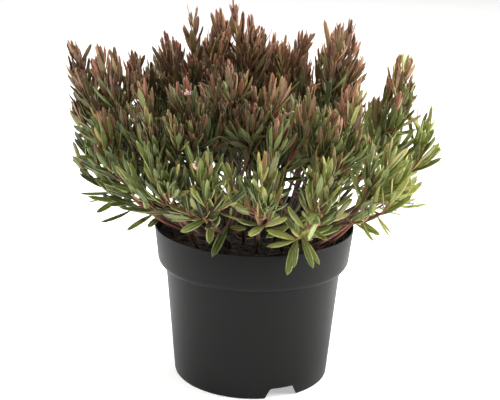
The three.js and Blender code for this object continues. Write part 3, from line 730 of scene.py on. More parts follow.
@dataclass(frozen=True)
class Pot:
    """The nursery pot, with a wide band at its rim and drainage notches at its foot."""

    height: float = 134.3
    rim_radius: float = 85.0
    band_low_height: float = 106.3
    band_low_radius: float = 82.0
    shoulder_height: float = 99.3
    shoulder_radius: float = 75.2
    foot_radius: float = 66.6
    foot_rounding: float = 1.9
    wall: float = 1.6
    base_underside: float = 11.0
    steps: int = 128
    shoulder_steps: int = 8
    notch_count: int = 3
    notch_first_angle: float = 24.0  # degrees from the front, towards +X
    notch_width_low: float = 31.0
    notch_width_top: float = 21.0
    notch_height: float = 9.4
    notch_reach: float = 16.0
    notch_rounding: float = 1.8
    rounding_steps: int = 3
    smooth_below: float = 32.0  # degrees: edges sharper than this stay sharp
    finish: MouldedPlastic = MouldedPlastic()

    def shoulder(self, inset: float) -> list[Pair]:
        """The taper's top and the rounded shoulder under the band, inside or outside the wall.

        Args:
            inset: How far inside the outer face it lies.

        Returns:
            Radius and height of each point, from below.
        """
        start = (self.shoulder_radius - inset, self.shoulder_height)
        end = (self.band_low_radius - inset, self.band_low_height)
        return [start, *quarter(start, end, self.shoulder_steps, outward_first=True)]

    def profile(self) -> list[Pair]:
        """The wall's section, from the axis under the floor, outside, over the rim and back in.

        Returns:
            Radius and height of each point.
        """
        floor_top = self.base_underside + self.wall
        lip = self.wall / 2
        steps = self.rounding_steps
        foot_side = (self.foot_radius, self.foot_rounding)
        lip_side = (self.rim_radius, self.height - lip)
        lip_top = (self.rim_radius - lip, self.height)
        lip_inside = (self.rim_radius - self.wall, self.height - lip)
        return [
            (0.0, self.base_underside),
            (self.foot_radius - self.wall - 1, self.base_underside),
            (self.foot_radius - self.wall - self.foot_rounding, 0.0),
            (self.foot_radius - self.foot_rounding, 0.0),
            *quarter((self.foot_radius - self.foot_rounding, 0.0), foot_side, steps, outward_first=True),
            *self.shoulder(0.0),
            lip_side,
            *quarter(lip_side, lip_top, steps, outward_first=False),
            *quarter(lip_top, lip_inside, steps, outward_first=True),
            *self.shoulder(self.wall)[::-1],
            (self.foot_radius - self.wall + 1, floor_top),
            (0.0, floor_top),
        ]

    def notch_cutter(self, index: int) -> Object:
        """One drainage notch: a block, narrower and rounded at its top, across the foot.

        Args:
            index: Which notch it is.

        Returns:
            The cutter.
        """
        depth = 2 * self.notch_reach
        rise = self.notch_height + 1
        cutter = primitive(
            bpy.ops.mesh.primitive_cube_add, f"notch_{index}", size=1.0,
            location=(0, -self.foot_radius * MM, (self.notch_height - rise / 2) * MM),
            scale=(self.notch_width_low * MM, depth * MM, rise * MM),
        )
        bpy.ops.object.transform_apply(location=True, rotation=True, scale=True)
        start_editing()
        top = self.notch_height * MM
        select_corners(cutter, lambda corner: corner.co.z > top - MM)
        narrowing = self.notch_width_top / self.notch_width_low
        bpy.ops.transform.resize(value=(narrowing, 1, 1), center_override=(0, 0, 0))
        body = bmesh.from_edit_mesh(cutter.data)
        for edge in body.edges:
            ends = [corner.co for corner in edge.verts]
            along = abs(ends[0].y - ends[1].y) > MM
            edge.select = along and min(end.z for end in ends) > top - MM
        bmesh.update_edit_mesh(cutter.data)
        bpy.context.tool_settings.mesh_select_mode = (False, True, False)
        bpy.ops.mesh.bevel(offset=self.notch_rounding * MM, segments=4)
        stop_editing()
        angle = math.radians(self.notch_first_angle + 360 / self.notch_count * index)
        cutter.data.transform(Matrix.Rotation(angle, 4, "Z"))
        return cutter

    def build(self) -> None:
        """Turns the pot, cuts its notches and dresses it."""
        piece = turned("nursery_pot", self.profile(), self.steps)
        for index in range(self.notch_count):
            cutter = self.notch_cutter(index)
            deselect_all()
            bpy.context.view_layer.objects.active = piece
            piece.select_set(True)
            apply_modifier(piece, "BOOLEAN", object=cutter, operation="DIFFERENCE", solver="EXACT")
            bpy.data.meshes.remove(cutter.data)
        bpy.ops.object.shade_smooth_by_angle(angle=math.radians(self.smooth_below))
        piece.data.materials.clear()
        hand_over(piece, self.finish.material(), ["pot"])


# The peat and what lies on it


@dataclass(frozen=True)
class Peat:
    """The root ball's crumbly surface, and its sides inside the pot."""

    level: float = 124.0
    gap: float = 0.6
    rings: int = 34
    steps: int = 120
    heaves: tuple[Pair, ...] = ((22.0, 5.0), (7.0, 2.6), (2.4, 1.3))  # size and depth
    still_edge: float = 1.0  # the surface keeps still this near to its edge
    finish: PeatCompost = PeatCompost()

    def build(self, pot: Pot) -> Object:
        """Turns the root ball, roughens its surface and dresses it.

        Args:
            pot: The pot that it fills.

        Returns:
            The piece.
        """
        band = (pot.height - self.level) / (pot.height - pot.band_low_height)
        rim = pot.rim_radius - pot.wall - self.gap - (pot.rim_radius - pot.band_low_radius) * band
        bottom = pot.base_underside + pot.wall + self.gap
        surface = [(rim * (1 - ring / self.rings), self.level) for ring in range(self.rings + 1)]
        profile = [
            (0.0, bottom),
            (pot.foot_radius - pot.wall - 2, bottom),
            *pot.shoulder(pot.wall + self.gap),
            *surface,
        ]
        piece = turned("peat_surface", profile, self.steps)
        top = piece.vertex_groups.new(name="top")
        inner = rim * MM - self.still_edge * MM
        lowest = (self.level - self.still_edge) * MM
        loose = [
            corner.index for corner in piece.data.vertices
            if corner.co.z > lowest and math.hypot(corner.co.x, corner.co.y) < inner
        ]
        top.add(loose, 1.0, "REPLACE")
        for size, depth in self.heaves:
            clouds = bpy.data.textures.new(f"heave_{size:.0f}", "CLOUDS")
            clouds.noise_scale = size * MM
            apply_modifier(
                piece, "DISPLACE", texture=clouds, vertex_group="top", direction="Z",
                strength=depth * MM, mid_level=0.5, texture_coords="LOCAL",
            )
            bpy.data.textures.remove(clouds)
        bpy.ops.object.shade_smooth()
        piece.vertex_groups.clear()
        hand_over(piece, self.finish.material(), ["peat"])
        return piece


@dataclass(frozen=True)
class Litter:
    """Crumbs, root fibres and bits of old twig that lie on the peat."""

    crumbs: int = 420
    crumb_sizes: Pair = (0.9, 3.2)
    crumb_knobs: float = 0.3
    crumb_shape: Triple = (1.0, 0.8, 0.6)
    crumb_tilt: float = 0.6
    crumb_rise: float = 0.25  # how high its middle lies, by its size
    fibres: int = 190
    fibre_lengths: Pair = (9.0, 34.0)
    fibre_radii: Pair = (0.22, 0.6)
    fibre_taper: float = 0.6
    fibre_bend: float = 1.1
    fibre_rise: float = 3.5
    fibre_hold: float = 0.66  # how near its curve comes to its middle
    fibre_ages: Pair = (0.55, 1.0)
    fibre_yellow: float = 0.4
    reach: float = 78.0
    above: float = 200.0  # a height above all the peat
    finish: PeatCompost = PeatCompost(name="peat crumb", dark="120d0a", pale="33251b", crumb=5.0)
    fibre_finish: Bark = Bark(name="dry root fibre", old="2a1e17", flake="54402f")

    def crumb_form(self) -> Form:
        """Shapes a crumb: a small knobbly lump.

        Returns:
            The form.
        """
        lump = primitive(bpy.ops.mesh.primitive_ico_sphere_add, "crumb", subdivisions=1, radius=1.0)
        start_editing()
        bpy.ops.mesh.select_all(action="SELECT")
        bpy.ops.transform.vertex_random(offset=self.crumb_knobs, seed=5)
        bpy.ops.transform.resize(value=self.crumb_shape, center_override=(0, 0, 0))
        stop_editing()
        return Form.taken_from(lump)

    def ground(self, peat: Object, x: float, y: float, spare: float) -> float:
        """Finds the height of the peat's surface at a place, in millimetres.

        Args:
            peat: The peat's piece.
            x: Where it is, to the right.
            y: Where it is, to the back.
            spare: The height that is taken where there is no peat.

        Returns:
            The height.
        """
        hit, place, _, _ = peat.ray_cast(Vector((x * MM, y * MM, self.above * MM)), -UP)
        return place.z / MM if hit else spare

    def spot(self, index: int, key: int) -> Pair:
        """Draws a place on the peat, as likely near its edge as at its middle.

        Args:
            index: The number of what lies there.
            key: The key of its first draw.

        Returns:
            Its X and Y.
        """
        radius = self.reach * math.sqrt(draw(index, key))
        angle = 2 * math.pi * draw(index, key + 1)
        return radius * math.cos(angle), radius * math.sin(angle)

    def build(self, peat: Object, level: float, tube: Form) -> None:
        """Strews the crumbs and the fibres.

        Args:
            peat: The peat's piece.
            level: The peat's mean level.
            tube: The form that a fibre is bent from.
        """
        crumbs = Bundle()
        form = self.crumb_form()
        for index in range(self.crumbs):
            x, y = self.spot(index, 301)
            size = mix(*self.crumb_sizes, draw(index, 303) ** 2)
            turn = Matrix.Rotation(2 * math.pi * draw(index, 304), 3, "Z") @ Matrix.Rotation(
                swing(self.crumb_tilt, index, 305), 3, "X")
            place = np.array([x, y, self.ground(peat, x, y, level) + self.crumb_rise * size])
            crumbs.add(form, form.corners @ np.array(turn).T * size + place, {})
        piece = crumbs.piece("peat_crumbs")
        hand_over(piece, self.finish.material(), ["peat"])
        self.strew_fibres(peat, level, tube)

    def strew_fibres(self, peat: Object, level: float, tube: Form) -> None:
        """Lays the fibres, each a short bent tube.

        Args:
            peat: The peat's piece.
            level: The peat's mean level.
            tube: The form that a fibre is bent from.
        """
        fibres = Bundle()
        for index in range(self.fibres):
            start = Vector((*self.spot(index, 311), 0))
            heading = 2 * math.pi * draw(index, 313)
            length = mix(*self.fibre_lengths, draw(index, 314) ** 2)
            middle = start + length / 2 * Vector((math.cos(heading), math.sin(heading), 0))
            heading += swing(self.fibre_bend, index, 315)
            end = middle + length / 2 * Vector((math.cos(heading), math.sin(heading), 0))
            thick = mix(*self.fibre_radii, draw(index, 316) ** 3)
            lain = []
            for key, spot in enumerate((start, middle, end)):
                reach = min(1.0, self.reach / max(spot.length, 1.0))
                x, y = spot.x * reach, spot.y * reach
                lift = thick + mix(0, self.fibre_rise, draw(index, 317, key) ** 2)
                lain.append(Vector((x, y, self.ground(peat, x, y, level) + lift)))
            start, middle, end = lain
            controls = [start, start.lerp(middle, self.fibre_hold), end.lerp(middle, self.fibre_hold), end]
            strand = Shoot(controls, thick, 0.0, tip_radius=thick * self.fibre_taper)
            age = mix(*self.fibre_ages, draw(index, 318))
            tint = np.array([age, draw(index, 319) * self.fibre_yellow, 0.0])
            corners = wood_corners(tube, strand, None)
            fibres.add(tube, corners, {"wood": np.tile(tint, (len(tube.corners), 1))})
        piece = fibres.piece("root_fibres")
        hand_over(piece, self.fibre_finish.material(), ["peat"])


# How the shrub grows


class Station(NamedTuple):
    """A place on a shoot, the direction along it and the two across it."""

    place: Vector
    along: Vector
    side: Vector
    other: Vector


class Shoot:
    """A curve from its foot to its tip, with its length measured along it, in millimetres."""

    def __init__(
        self, controls: Sequence[Vector], foot_radius: float, bare: float, tip_radius: float = 0.8,
        leaf_size: float = 1.0, is_new: bool = False,
    ) -> None:
        """Measures the curve.

        Args:
            controls: The four points of its Bezier curve.
            foot_radius: The wood's radius at its foot.
            bare: The length of its leafless foot.
            tip_radius: The wood's radius at its tip.
            leaf_size: The size of its leaves, by the usual size.
            is_new: Whether it grew this spring, and is still yellow green.
        """
        self.controls = controls
        self.leaf_size = leaf_size
        self.is_new = is_new
        self.foot_radius = foot_radius
        self.tip_radius = tip_radius
        self.bare = bare
        self.points = [self.on_curve(step / CURVE_STEPS) for step in range(CURVE_STEPS + 1)]
        self.reach = [0.0]
        for low, high in zip(self.points, self.points[1:]):
            self.reach.append(self.reach[-1] + (high - low).length)
        self.length = self.reach[-1]

    def on_curve(self, part: float) -> Vector:
        """Finds the point of the Bezier curve at a part of it.

        Args:
            part: The part, from 0 at its foot to 1 at its tip.

        Returns:
            The point.
        """
        foot, first, last, tip = self.controls
        rest = 1 - part
        return (rest**3 * foot + 3 * rest**2 * part * first + 3 * rest * part**2 * last
                + part**3 * tip)

    def slope(self, part: float) -> Vector:
        """Finds the direction of the Bezier curve at a part of it.

        Args:
            part: The part, from 0 at its foot to 1 at its tip.

        Returns:
            The direction.
        """
        foot, first, last, tip = self.controls
        rest = 1 - part
        return (rest**2 * (first - foot) + 2 * rest * part * (last - first)
                + part**2 * (tip - last)).normalized()

    def at(self, below: float) -> Station:
        """Finds the station at a distance below the tip.

        Args:
            below: The distance.

        Returns:
            The station.
        """
        wanted = self.length - below
        step = 1
        while step < CURVE_STEPS and self.reach[step] < wanted:
            step += 1
        part = (wanted - self.reach[step - 1]) / (self.reach[step] - self.reach[step - 1])
        place = self.points[step - 1].lerp(self.points[step], part)
        along = self.slope(min(1.0, max(0.0, (step - 1 + part) / CURVE_STEPS)))
        side = (ACROSS - along.x * along).normalized()
        return Station(place, along, side, along.cross(side))

    def radius_at(self, below: float) -> float:
        """The wood's radius at a distance below the tip."""
        return mix(self.tip_radius, self.foot_radius, below / self.length)

    def nearest(self, spot: Vector) -> Vector:
        """The point of its middle line that is nearest to a spot."""
        places = [self.at(self.length * step / NEAREST_STEPS).place for step in range(NEAREST_STEPS + 1)]
        return min(places, key=lambda place: (place - spot).length)


class PlacedLeaf(NamedTuple):
    """A leaf that is placed one by one, as it stands in the view: in millimetres and degrees."""

    root: Triple
    tip: Triple
    width: float = 5.2
    arch: float = -14.0
    looks: Triple = (0.0, -0.75, 0.65)


class DrawnShoot(NamedTuple):
    """A shoot that is drawn one by one, as it runs in the view."""

    stem: int
    course: tuple[Triple, ...]
    radius: float
    bare: float
    leaf_size: float = 1.0
    is_new: bool = False

    def grown(self, main: Shoot, ground: float) -> Shoot:
        """Grows the shoot, which forks off its stem if it starts above the ground.

        Args:
            main: The stem.
            ground: The height of the ground.

        Returns:
            The shoot.
        """
        controls = [Vector(spot) for spot in self.course]
        if controls[0].z > ground:
            controls[0] = main.nearest(controls[0])
        return Shoot(controls, self.radius, self.bare, leaf_size=self.leaf_size, is_new=self.is_new)


class Leaf(NamedTuple):
    """One leaf: where it grows, how it stands and how it is coloured."""

    place: Vector
    direction: Vector
    face: Vector
    length: float
    width: float
    arch: float
    tone: Triple
    is_young: bool


@dataclass
class Stem:
    """A stem with its side shoots.

    Attributes:
        number: Its place in the plan.
        shoots: The stem itself, then its side shoots, then its twigs.
        placed: Its leaves that are placed one by one.
        by_hand: Whether those are all that the stem itself has.
    """

    number: int
    shoots: list[Shoot]
    placed: list[PlacedLeaf]
    by_hand: bool

    @property
    def node(self) -> str:
        """The name of the solid that it stands for."""
        return f"leafy_stem_{self.number + 1:02d}"


@dataclass(frozen=True)
class Plan:
    """Where the tip of each stem stands, and how many side shoots and twigs it has."""

    outline: tuple[tuple[float, float, float, int], ...] = (
        (-151, -10, 280, 2), (-124, -44, 284, 2), (-102, 2, 268, 2), (-77, 24, 281, 2),
        (-54, -8, 308, 2), (-34, 14, 302, 2), (-20, -14, 315, 2), (-8, 28, 299, 2),
        (20, -6, 285, 2), (35, 14, 288, 1), (63, -16, 302, 2), (74, 8, 299, 1), (80, -34, 216, 1),
        (121, -2, 273, 1), (145, 18, 212, 2),
    )
    front: tuple[tuple[float, float, float, int], ...] = (
        (-88, -82, 262, 2), (-54, -84, 264, 2), (-22, -76, 278, 2), (10, -82, 268, 2),
        (40, -80, 262, 2), (76, -76, 260, 2), (104, -78, 214, 2), (-118, -66, 232, 2),
        (-80, -112, 220, 2), (-44, -118, 216, 2), (4, -126, 217, 2), (55, -112, 212, 2),
    )
    low: tuple[tuple[float, float, float, int], ...] = (
        (-139, -19, 200, 1), (-114, -38, 166, 0), (124, -30, 190, 1), (118, -46, 170, 0),
        (46, -74, 146, 0), (-50, -97, 212, 0), (-106, -20, 150, 0),
    )
    back_count: int = 11
    back_radii: Pair = (70.0, 117.0)
    back_angles: Pair = (26.0, 150.0)
    back_heights: Pair = (270.0, 231.0)
    back_swing: float = 4.0
    back_height_swing: float = 10.0
    back_sides: int = 2

    def back(self) -> list[tuple[float, float, float, int]]:
        """Spreads the stems of the far side evenly round it, inner and outer in turn.

        Returns:
            The place of each stem's tip and how many side shoots it has.
        """
        stems = []
        for index in range(self.back_count):
            outer = index % 2
            angle = math.radians(mix(*self.back_angles, (index + 0.5) / self.back_count))
            stems.append((
                self.back_radii[outer] * math.cos(angle) + swing(self.back_swing, index, 81),
                self.back_radii[outer] * math.sin(angle) + swing(self.back_swing, index, 82),
                self.back_heights[outer] + swing(self.back_height_swing, index, 83),
                self.back_sides,
            ))
        return stems

    def tips(self) -> list[tuple[float, float, float, int]]:
        """All the stems, in their order."""
        return [*self.outline, *self.front, *self.low, *self.back()]


# The leaves of the stems whose own leaves are all placed one by one: to the left, to the right and over
# the rim. Here and below, each row is a PlacedLeaf, by the number of its stem.
LEAVES_BY_HAND = {
    27: (
        ((-111, -14, 166), (-138, -22, 177), 5.4, -14, (0, -0.3, 0.95)),
        ((-127, -6, 179), (-154, -4, 186), 5.0, -14, (0, -0.2, 1)),
        ((-120, -14, 184), (-148, -24, 195), 6.0, -14, (0, -0.8, 0.6)),
        ((-133, -10, 190), (-151, -12, 207), 4.0), ((-135, 0, 190), (-153, 4, 209), 4.4),
        ((-118, -10, 162), (-146, -16, 161), 5.0, 10, (0, -0.2, 1)),
        ((-131, -4, 185), (-141, 16, 203), 5.0), ((-137, -6, 192), (-139, -22, 212), 4.6),
        ((-138, -6, 195), (-146, 2, 215), 4.2), ((-138, -6, 196), (-134, 0, 215), 4.2),
        ((-122, -4, 174), (-112, 18, 187), 5.4), ((-104, -4, 158), (-96, -24, 174), 5.2),
        ((-98, -4, 155), (-104, 20, 164), 5.4),
    ),
    28: (
        ((-108, -24, 156), (-137, -34, 164), 5.8, 12, (0, -0.5, 0.85)),
        ((-96, -30, 155), (-119, -44, 167), 6.2, -14, (0, -0.7, 0.7)),
        ((-109, -30, 166), (-125, -46, 186), 6.0),
        ((-102, -40, 165), (-101, -50, 186), 6.4, -14, (0, -1, 0.2)),
        ((-87, -32, 150), (-89, -56, 174), 6.4, -14, (0.2, -1, 0.3)),
        ((-104, -36, 160), (-116, -62, 166), 5.6), ((-112, -38, 165), (-130, -44, 183), 5.2),
        ((-113, -38, 166), (-112, -28, 188), 5.0), ((-110, -36, 164), (-118, -16, 180), 5.4),
    ),
    33: (
        ((-104, -22, 146), (-127, -30, 141), 4.8, 16, (0, -0.3, 0.95)),
        ((-86, -22, 140), (-104, -44, 139), 5.0, -14, (0.1, -0.5, 0.85)),
        ((-80, -18, 139), (-87, -40, 141), 5.6), ((-96, -20, 146), (-86, -40, 154), 5.0),
        ((-100, -20, 148), (-112, 0, 158), 5.4), ((-106, -22, 150), (-128, -12, 159), 5.0),
    ),
    30: (
        ((84, -36, 151), (101, -62, 147), 5.6, -14, (-0.1, -0.6, 0.8)),
        ((97, -42, 159), (111, -56, 147), 5.0, -14, (0.9, -0.3, 0.8)),
        ((116, -44, 166), (140, -40, 168), 4.6, 24, (0, -0.2, 1)),
        ((118, -46, 169), (129, -54, 172), 3.6, -14, (0, 0.1, 1)),
        ((104, -42, 162), (122, -56, 185), 5.6, -14, (-0.3, -0.9, 0.4)),
        ((110, -44, 166), (126, -36, 190), 5.8), ((117, -46, 170), (124, -60, 192), 5.2),
        ((117, -46, 170), (134, -50, 189), 5.0), ((106, -42, 164), (112, -22, 182), 5.6),
    ),
    31: (
        ((27, -66, 157), (3, -80, 168), 6.2), ((27, -66, 155), (10, -84, 150), 6.2),
        ((34, -78, 149), (11, -88, 144), 5.8, 8, (0, -0.5, 0.85)),
        ((33, -80, 148), (27, -97, 124), 6.8, -24), ((34, -80, 148), (32, -96, 130), 5.0, -20),
        ((33, -80, 148), (10, -84, 156), 6.0), ((40, -82, 147), (47, -96, 130), 5.6, -24),
        ((42, -84, 146), (52, -93, 132), 4.4, -20), ((38, -82, 148), (61, -84, 161), 5.6),
        ((40, -80, 147), (69, -74, 157), 6.4, 10, (0, -0.7, 0.7)), ((40, -82, 147), (48, -86, 168), 4.2),
        ((38, -82, 148), (43, -87, 168), 4.2), ((34, -76, 150), (33, -84, 167), 4.8),
        ((38, -80, 148), (29, -92, 160), 5.0), ((26, -60, 158), (8, -78, 169), 5.0),
        ((36, -78, 149), (22, -70, 166), 4.8), ((30, -70, 153), (48, -62, 166), 5.4),
    ),
    32: (
        ((-34, -62, 162), (-35, -82, 143), 6.6, -20), ((-22, -46, 150), (-32, -92, 136), 7.0, -18),
        ((-20, -44, 148), (-7, -68, 151), 5.2, -20),
        ((-32, -60, 160), (-65, -60, 166), 6.4, -20, (0, -0.9, 0.5)),
        ((-38, -68, 172), (-60, -74, 174), 6.2, -14, (0, -0.9, 0.5)),
        ((-46, -84, 200), (-66, -96, 208), 5.4), ((-47, -85, 206), (-34, -98, 222), 5.2),
        ((-48, -86, 210), (-54, -94, 230), 4.8), ((-48, -86, 211), (-44, -80, 232), 4.6),
        ((-42, -76, 186), (-24, -88, 196), 5.6),
    ),
}

# Leaves that stand out at the crown's edge, and big bright ones.
ADDED_LEAVES = {
    0: (((-152, -10, 269), (-156, -10, 286), 3.6), ((-138, -20, 272), (-135, -20, 288), 3.6)),
    1: (((-116, -44, 275), (-114, -44, 291), 3.6), ((-116, -44, 276), (-118, -44, 289), 3.2)),
    2: (((-97, 2, 261), (-94, 2, 276), 3.6),),
    3: (((-84, 0, 267), (-88, 0, 284), 3.6),),
    4: (((-57, -8, 281), (-62, -8, 302), 4.4), ((-56, -8, 278), (-60, -8, 295), 4.0)),
    5: (((-36, 0, 292), (-40, 0, 313), 3.8), ((-36, 6, 286), (-38, 6, 303), 3.8)),
    7: (((-13, 10, 294), (-14, 10, 313), 3.8),),
    9: (((41, 14, 278), (46, 14, 296), 3.8), ((41, 10, 274), (44, 10, 289), 3.6)),
    10: (
        ((57, -10, 286), (52, -10, 311), 4.2), ((58, -10, 281), (55, -10, 299), 4.2),
        ((80, -16, 257), (86, -16, 275), 3.6), ((80, -16, 254), (84, -16, 267), 3.6),
    ),
    13: (
        ((118, -3, 235), (131, -3, 249), 4.2), ((118, -3, 230), (128, -3, 242), 5.0),
        ((121, -3, 243), (129, -3, 261), 3.0), ((121, -3, 258), (126, -3, 280), 4.2),
    ),
    14: (
        ((146, 18, 217), (147, 18, 236), 3.4), ((138, 18, 211), (130, 18, 227), 4.0),
        ((139, 18, 206), (134, 18, 223), 4.4),
    ),
    21: (
        ((88, -64, 171), (115, -72, 185), 6.8, -14, (-0.3, -0.8, 0.5)),
        ((93, -66, 183), (114, -78, 194), 5.6, -14, (-0.3, -0.8, 0.5)),
        ((95, -72, 198), (119, -74, 213), 6.6, -14, (-0.3, -0.8, 0.5)),
        ((99, -74, 206), (119, -66, 221), 5.2, -14, (-0.3, -0.8, 0.5)),
    ),
    22: (
        ((-88, -48, 176), (-112, -72, 186), 6.4, -14, (0.2, -0.8, 0.5)),
        ((-96, -54, 190), (-122, -70, 206), 6.2, -14, (0.2, -0.8, 0.5)),
    ),
    23: (
        ((-66, -80, 186), (-81, -96, 208), 6.4, -14, (0.1, -0.9, 0.4)),
        ((-62, -78, 180), (-60, -100, 196), 6.0, -14, (0.1, -0.9, 0.4)),
    ),
}

# Shoots that fork off a stem, as rows of DrawnShoot.
FORKED_SHOOTS = (
    (0, ((-137, -8, 236), (-141, -10, 248), (-152, -12, 255), (-157, -10, 268)), 1.2, 6, 0.9),
    (13, ((104, -3, 206), (104, -3, 217), (106, -6, 236), (107, -6, 252)), 1.2, 5),
    (13, ((108, -3, 214), (112, -8, 222), (118, -10, 236), (119, -10, 250)), 1.2, 4),
    (13, ((98, -3, 188), (104, -12, 200), (110, -14, 212), (112, -14, 228)), 1.2, 4),
    (13, ((112, -3, 222), (116, -4, 230), (121, -5, 240), (124, -5, 252)), 1.2, 4),
    (13, ((108, -3, 212), (114, -6, 218), (120, -8, 226), (123, -8, 236)), 1.2, 4),
    (31, ((28, -64, 156), (22, -70, 170), (12, -76, 194), (6, -80, 218)), 1.6, 14, 0.8),
    (32, ((-20, -46, 148), (-17, -54, 156), (-17, -58, 170), (-15, -60, 188)), 1.1, 16, 0.5, True),
    (32, ((-20, -46, 148), (-13, -54, 156), (-11, -58, 170), (-7, -60, 190)), 1.0, 18, 0.5, True),
    (39, ((2, 66, 148), (0, 78, 154), (-6, 90, 160), (-12, 98, 172)), 1.2, 8),
    (39, ((4, 72, 154), (8, 84, 158), (14, 94, 164), (18, 100, 176)), 1.2, 8),
    (41, ((-24, 62, 148), (-26, 76, 152), (-32, 88, 158), (-38, 96, 170)), 1.2, 8),
    (41, ((-20, 56, 146), (-18, 70, 150), (-20, 84, 154), (-22, 94, 166)), 1.2, 8),
)

# Bare ones that lie on the peat or lean out over the rim.
BARE_SHOOTS = (
    (31, ((45, -74, 147), (42, -76, 149), (37, -79, 150), (32, -81, 147)), 1.0, NO_LEAVES),
    (28, ((-44, -38, 120), (-54, -56, 144), (-64, -62, 158), (-77, -62, 175)), 1.3, NO_LEAVES),
    (28, ((-45, -34, 120), (-52, -50, 142), (-58, -58, 156), (-63, -58, 168)), 1.2, NO_LEAVES),
    (28, ((-24, -12, 124), (-52, -12, 122), (-68, -40, 138), (-99, -26, 158)), 1.9, NO_LEAVES),
    (28, ((-44, 2, 122), (-54, 4, 131), (-66, 0, 130), (-80, -14, 142)), 1.4, NO_LEAVES),
    (31, ((-22, 0, 122), (-14, -14, 131), (-2, -12, 129), (12, 2, 123)), 1.5, NO_LEAVES),
    (30, ((36, -42, 120), (42, -66, 136), (70, -58, 142), (92, -40, 164)), 2.3, NO_LEAVES),
    (30, ((50, -38, 120), (62, -50, 136), (76, -44, 140), (90, -34, 160)), 1.5, NO_LEAVES),
    (30, ((34, -24, 120), (44, -40, 144), (62, -46, 150), (78, -40, 170)), 1.7, NO_LEAVES),
)


class Bend(NamedTuple):
    """How a short shoot runs, by its length: each in parts along its stem, outward and up."""

    end: Triple
    foot: Triple
    tip: Triple


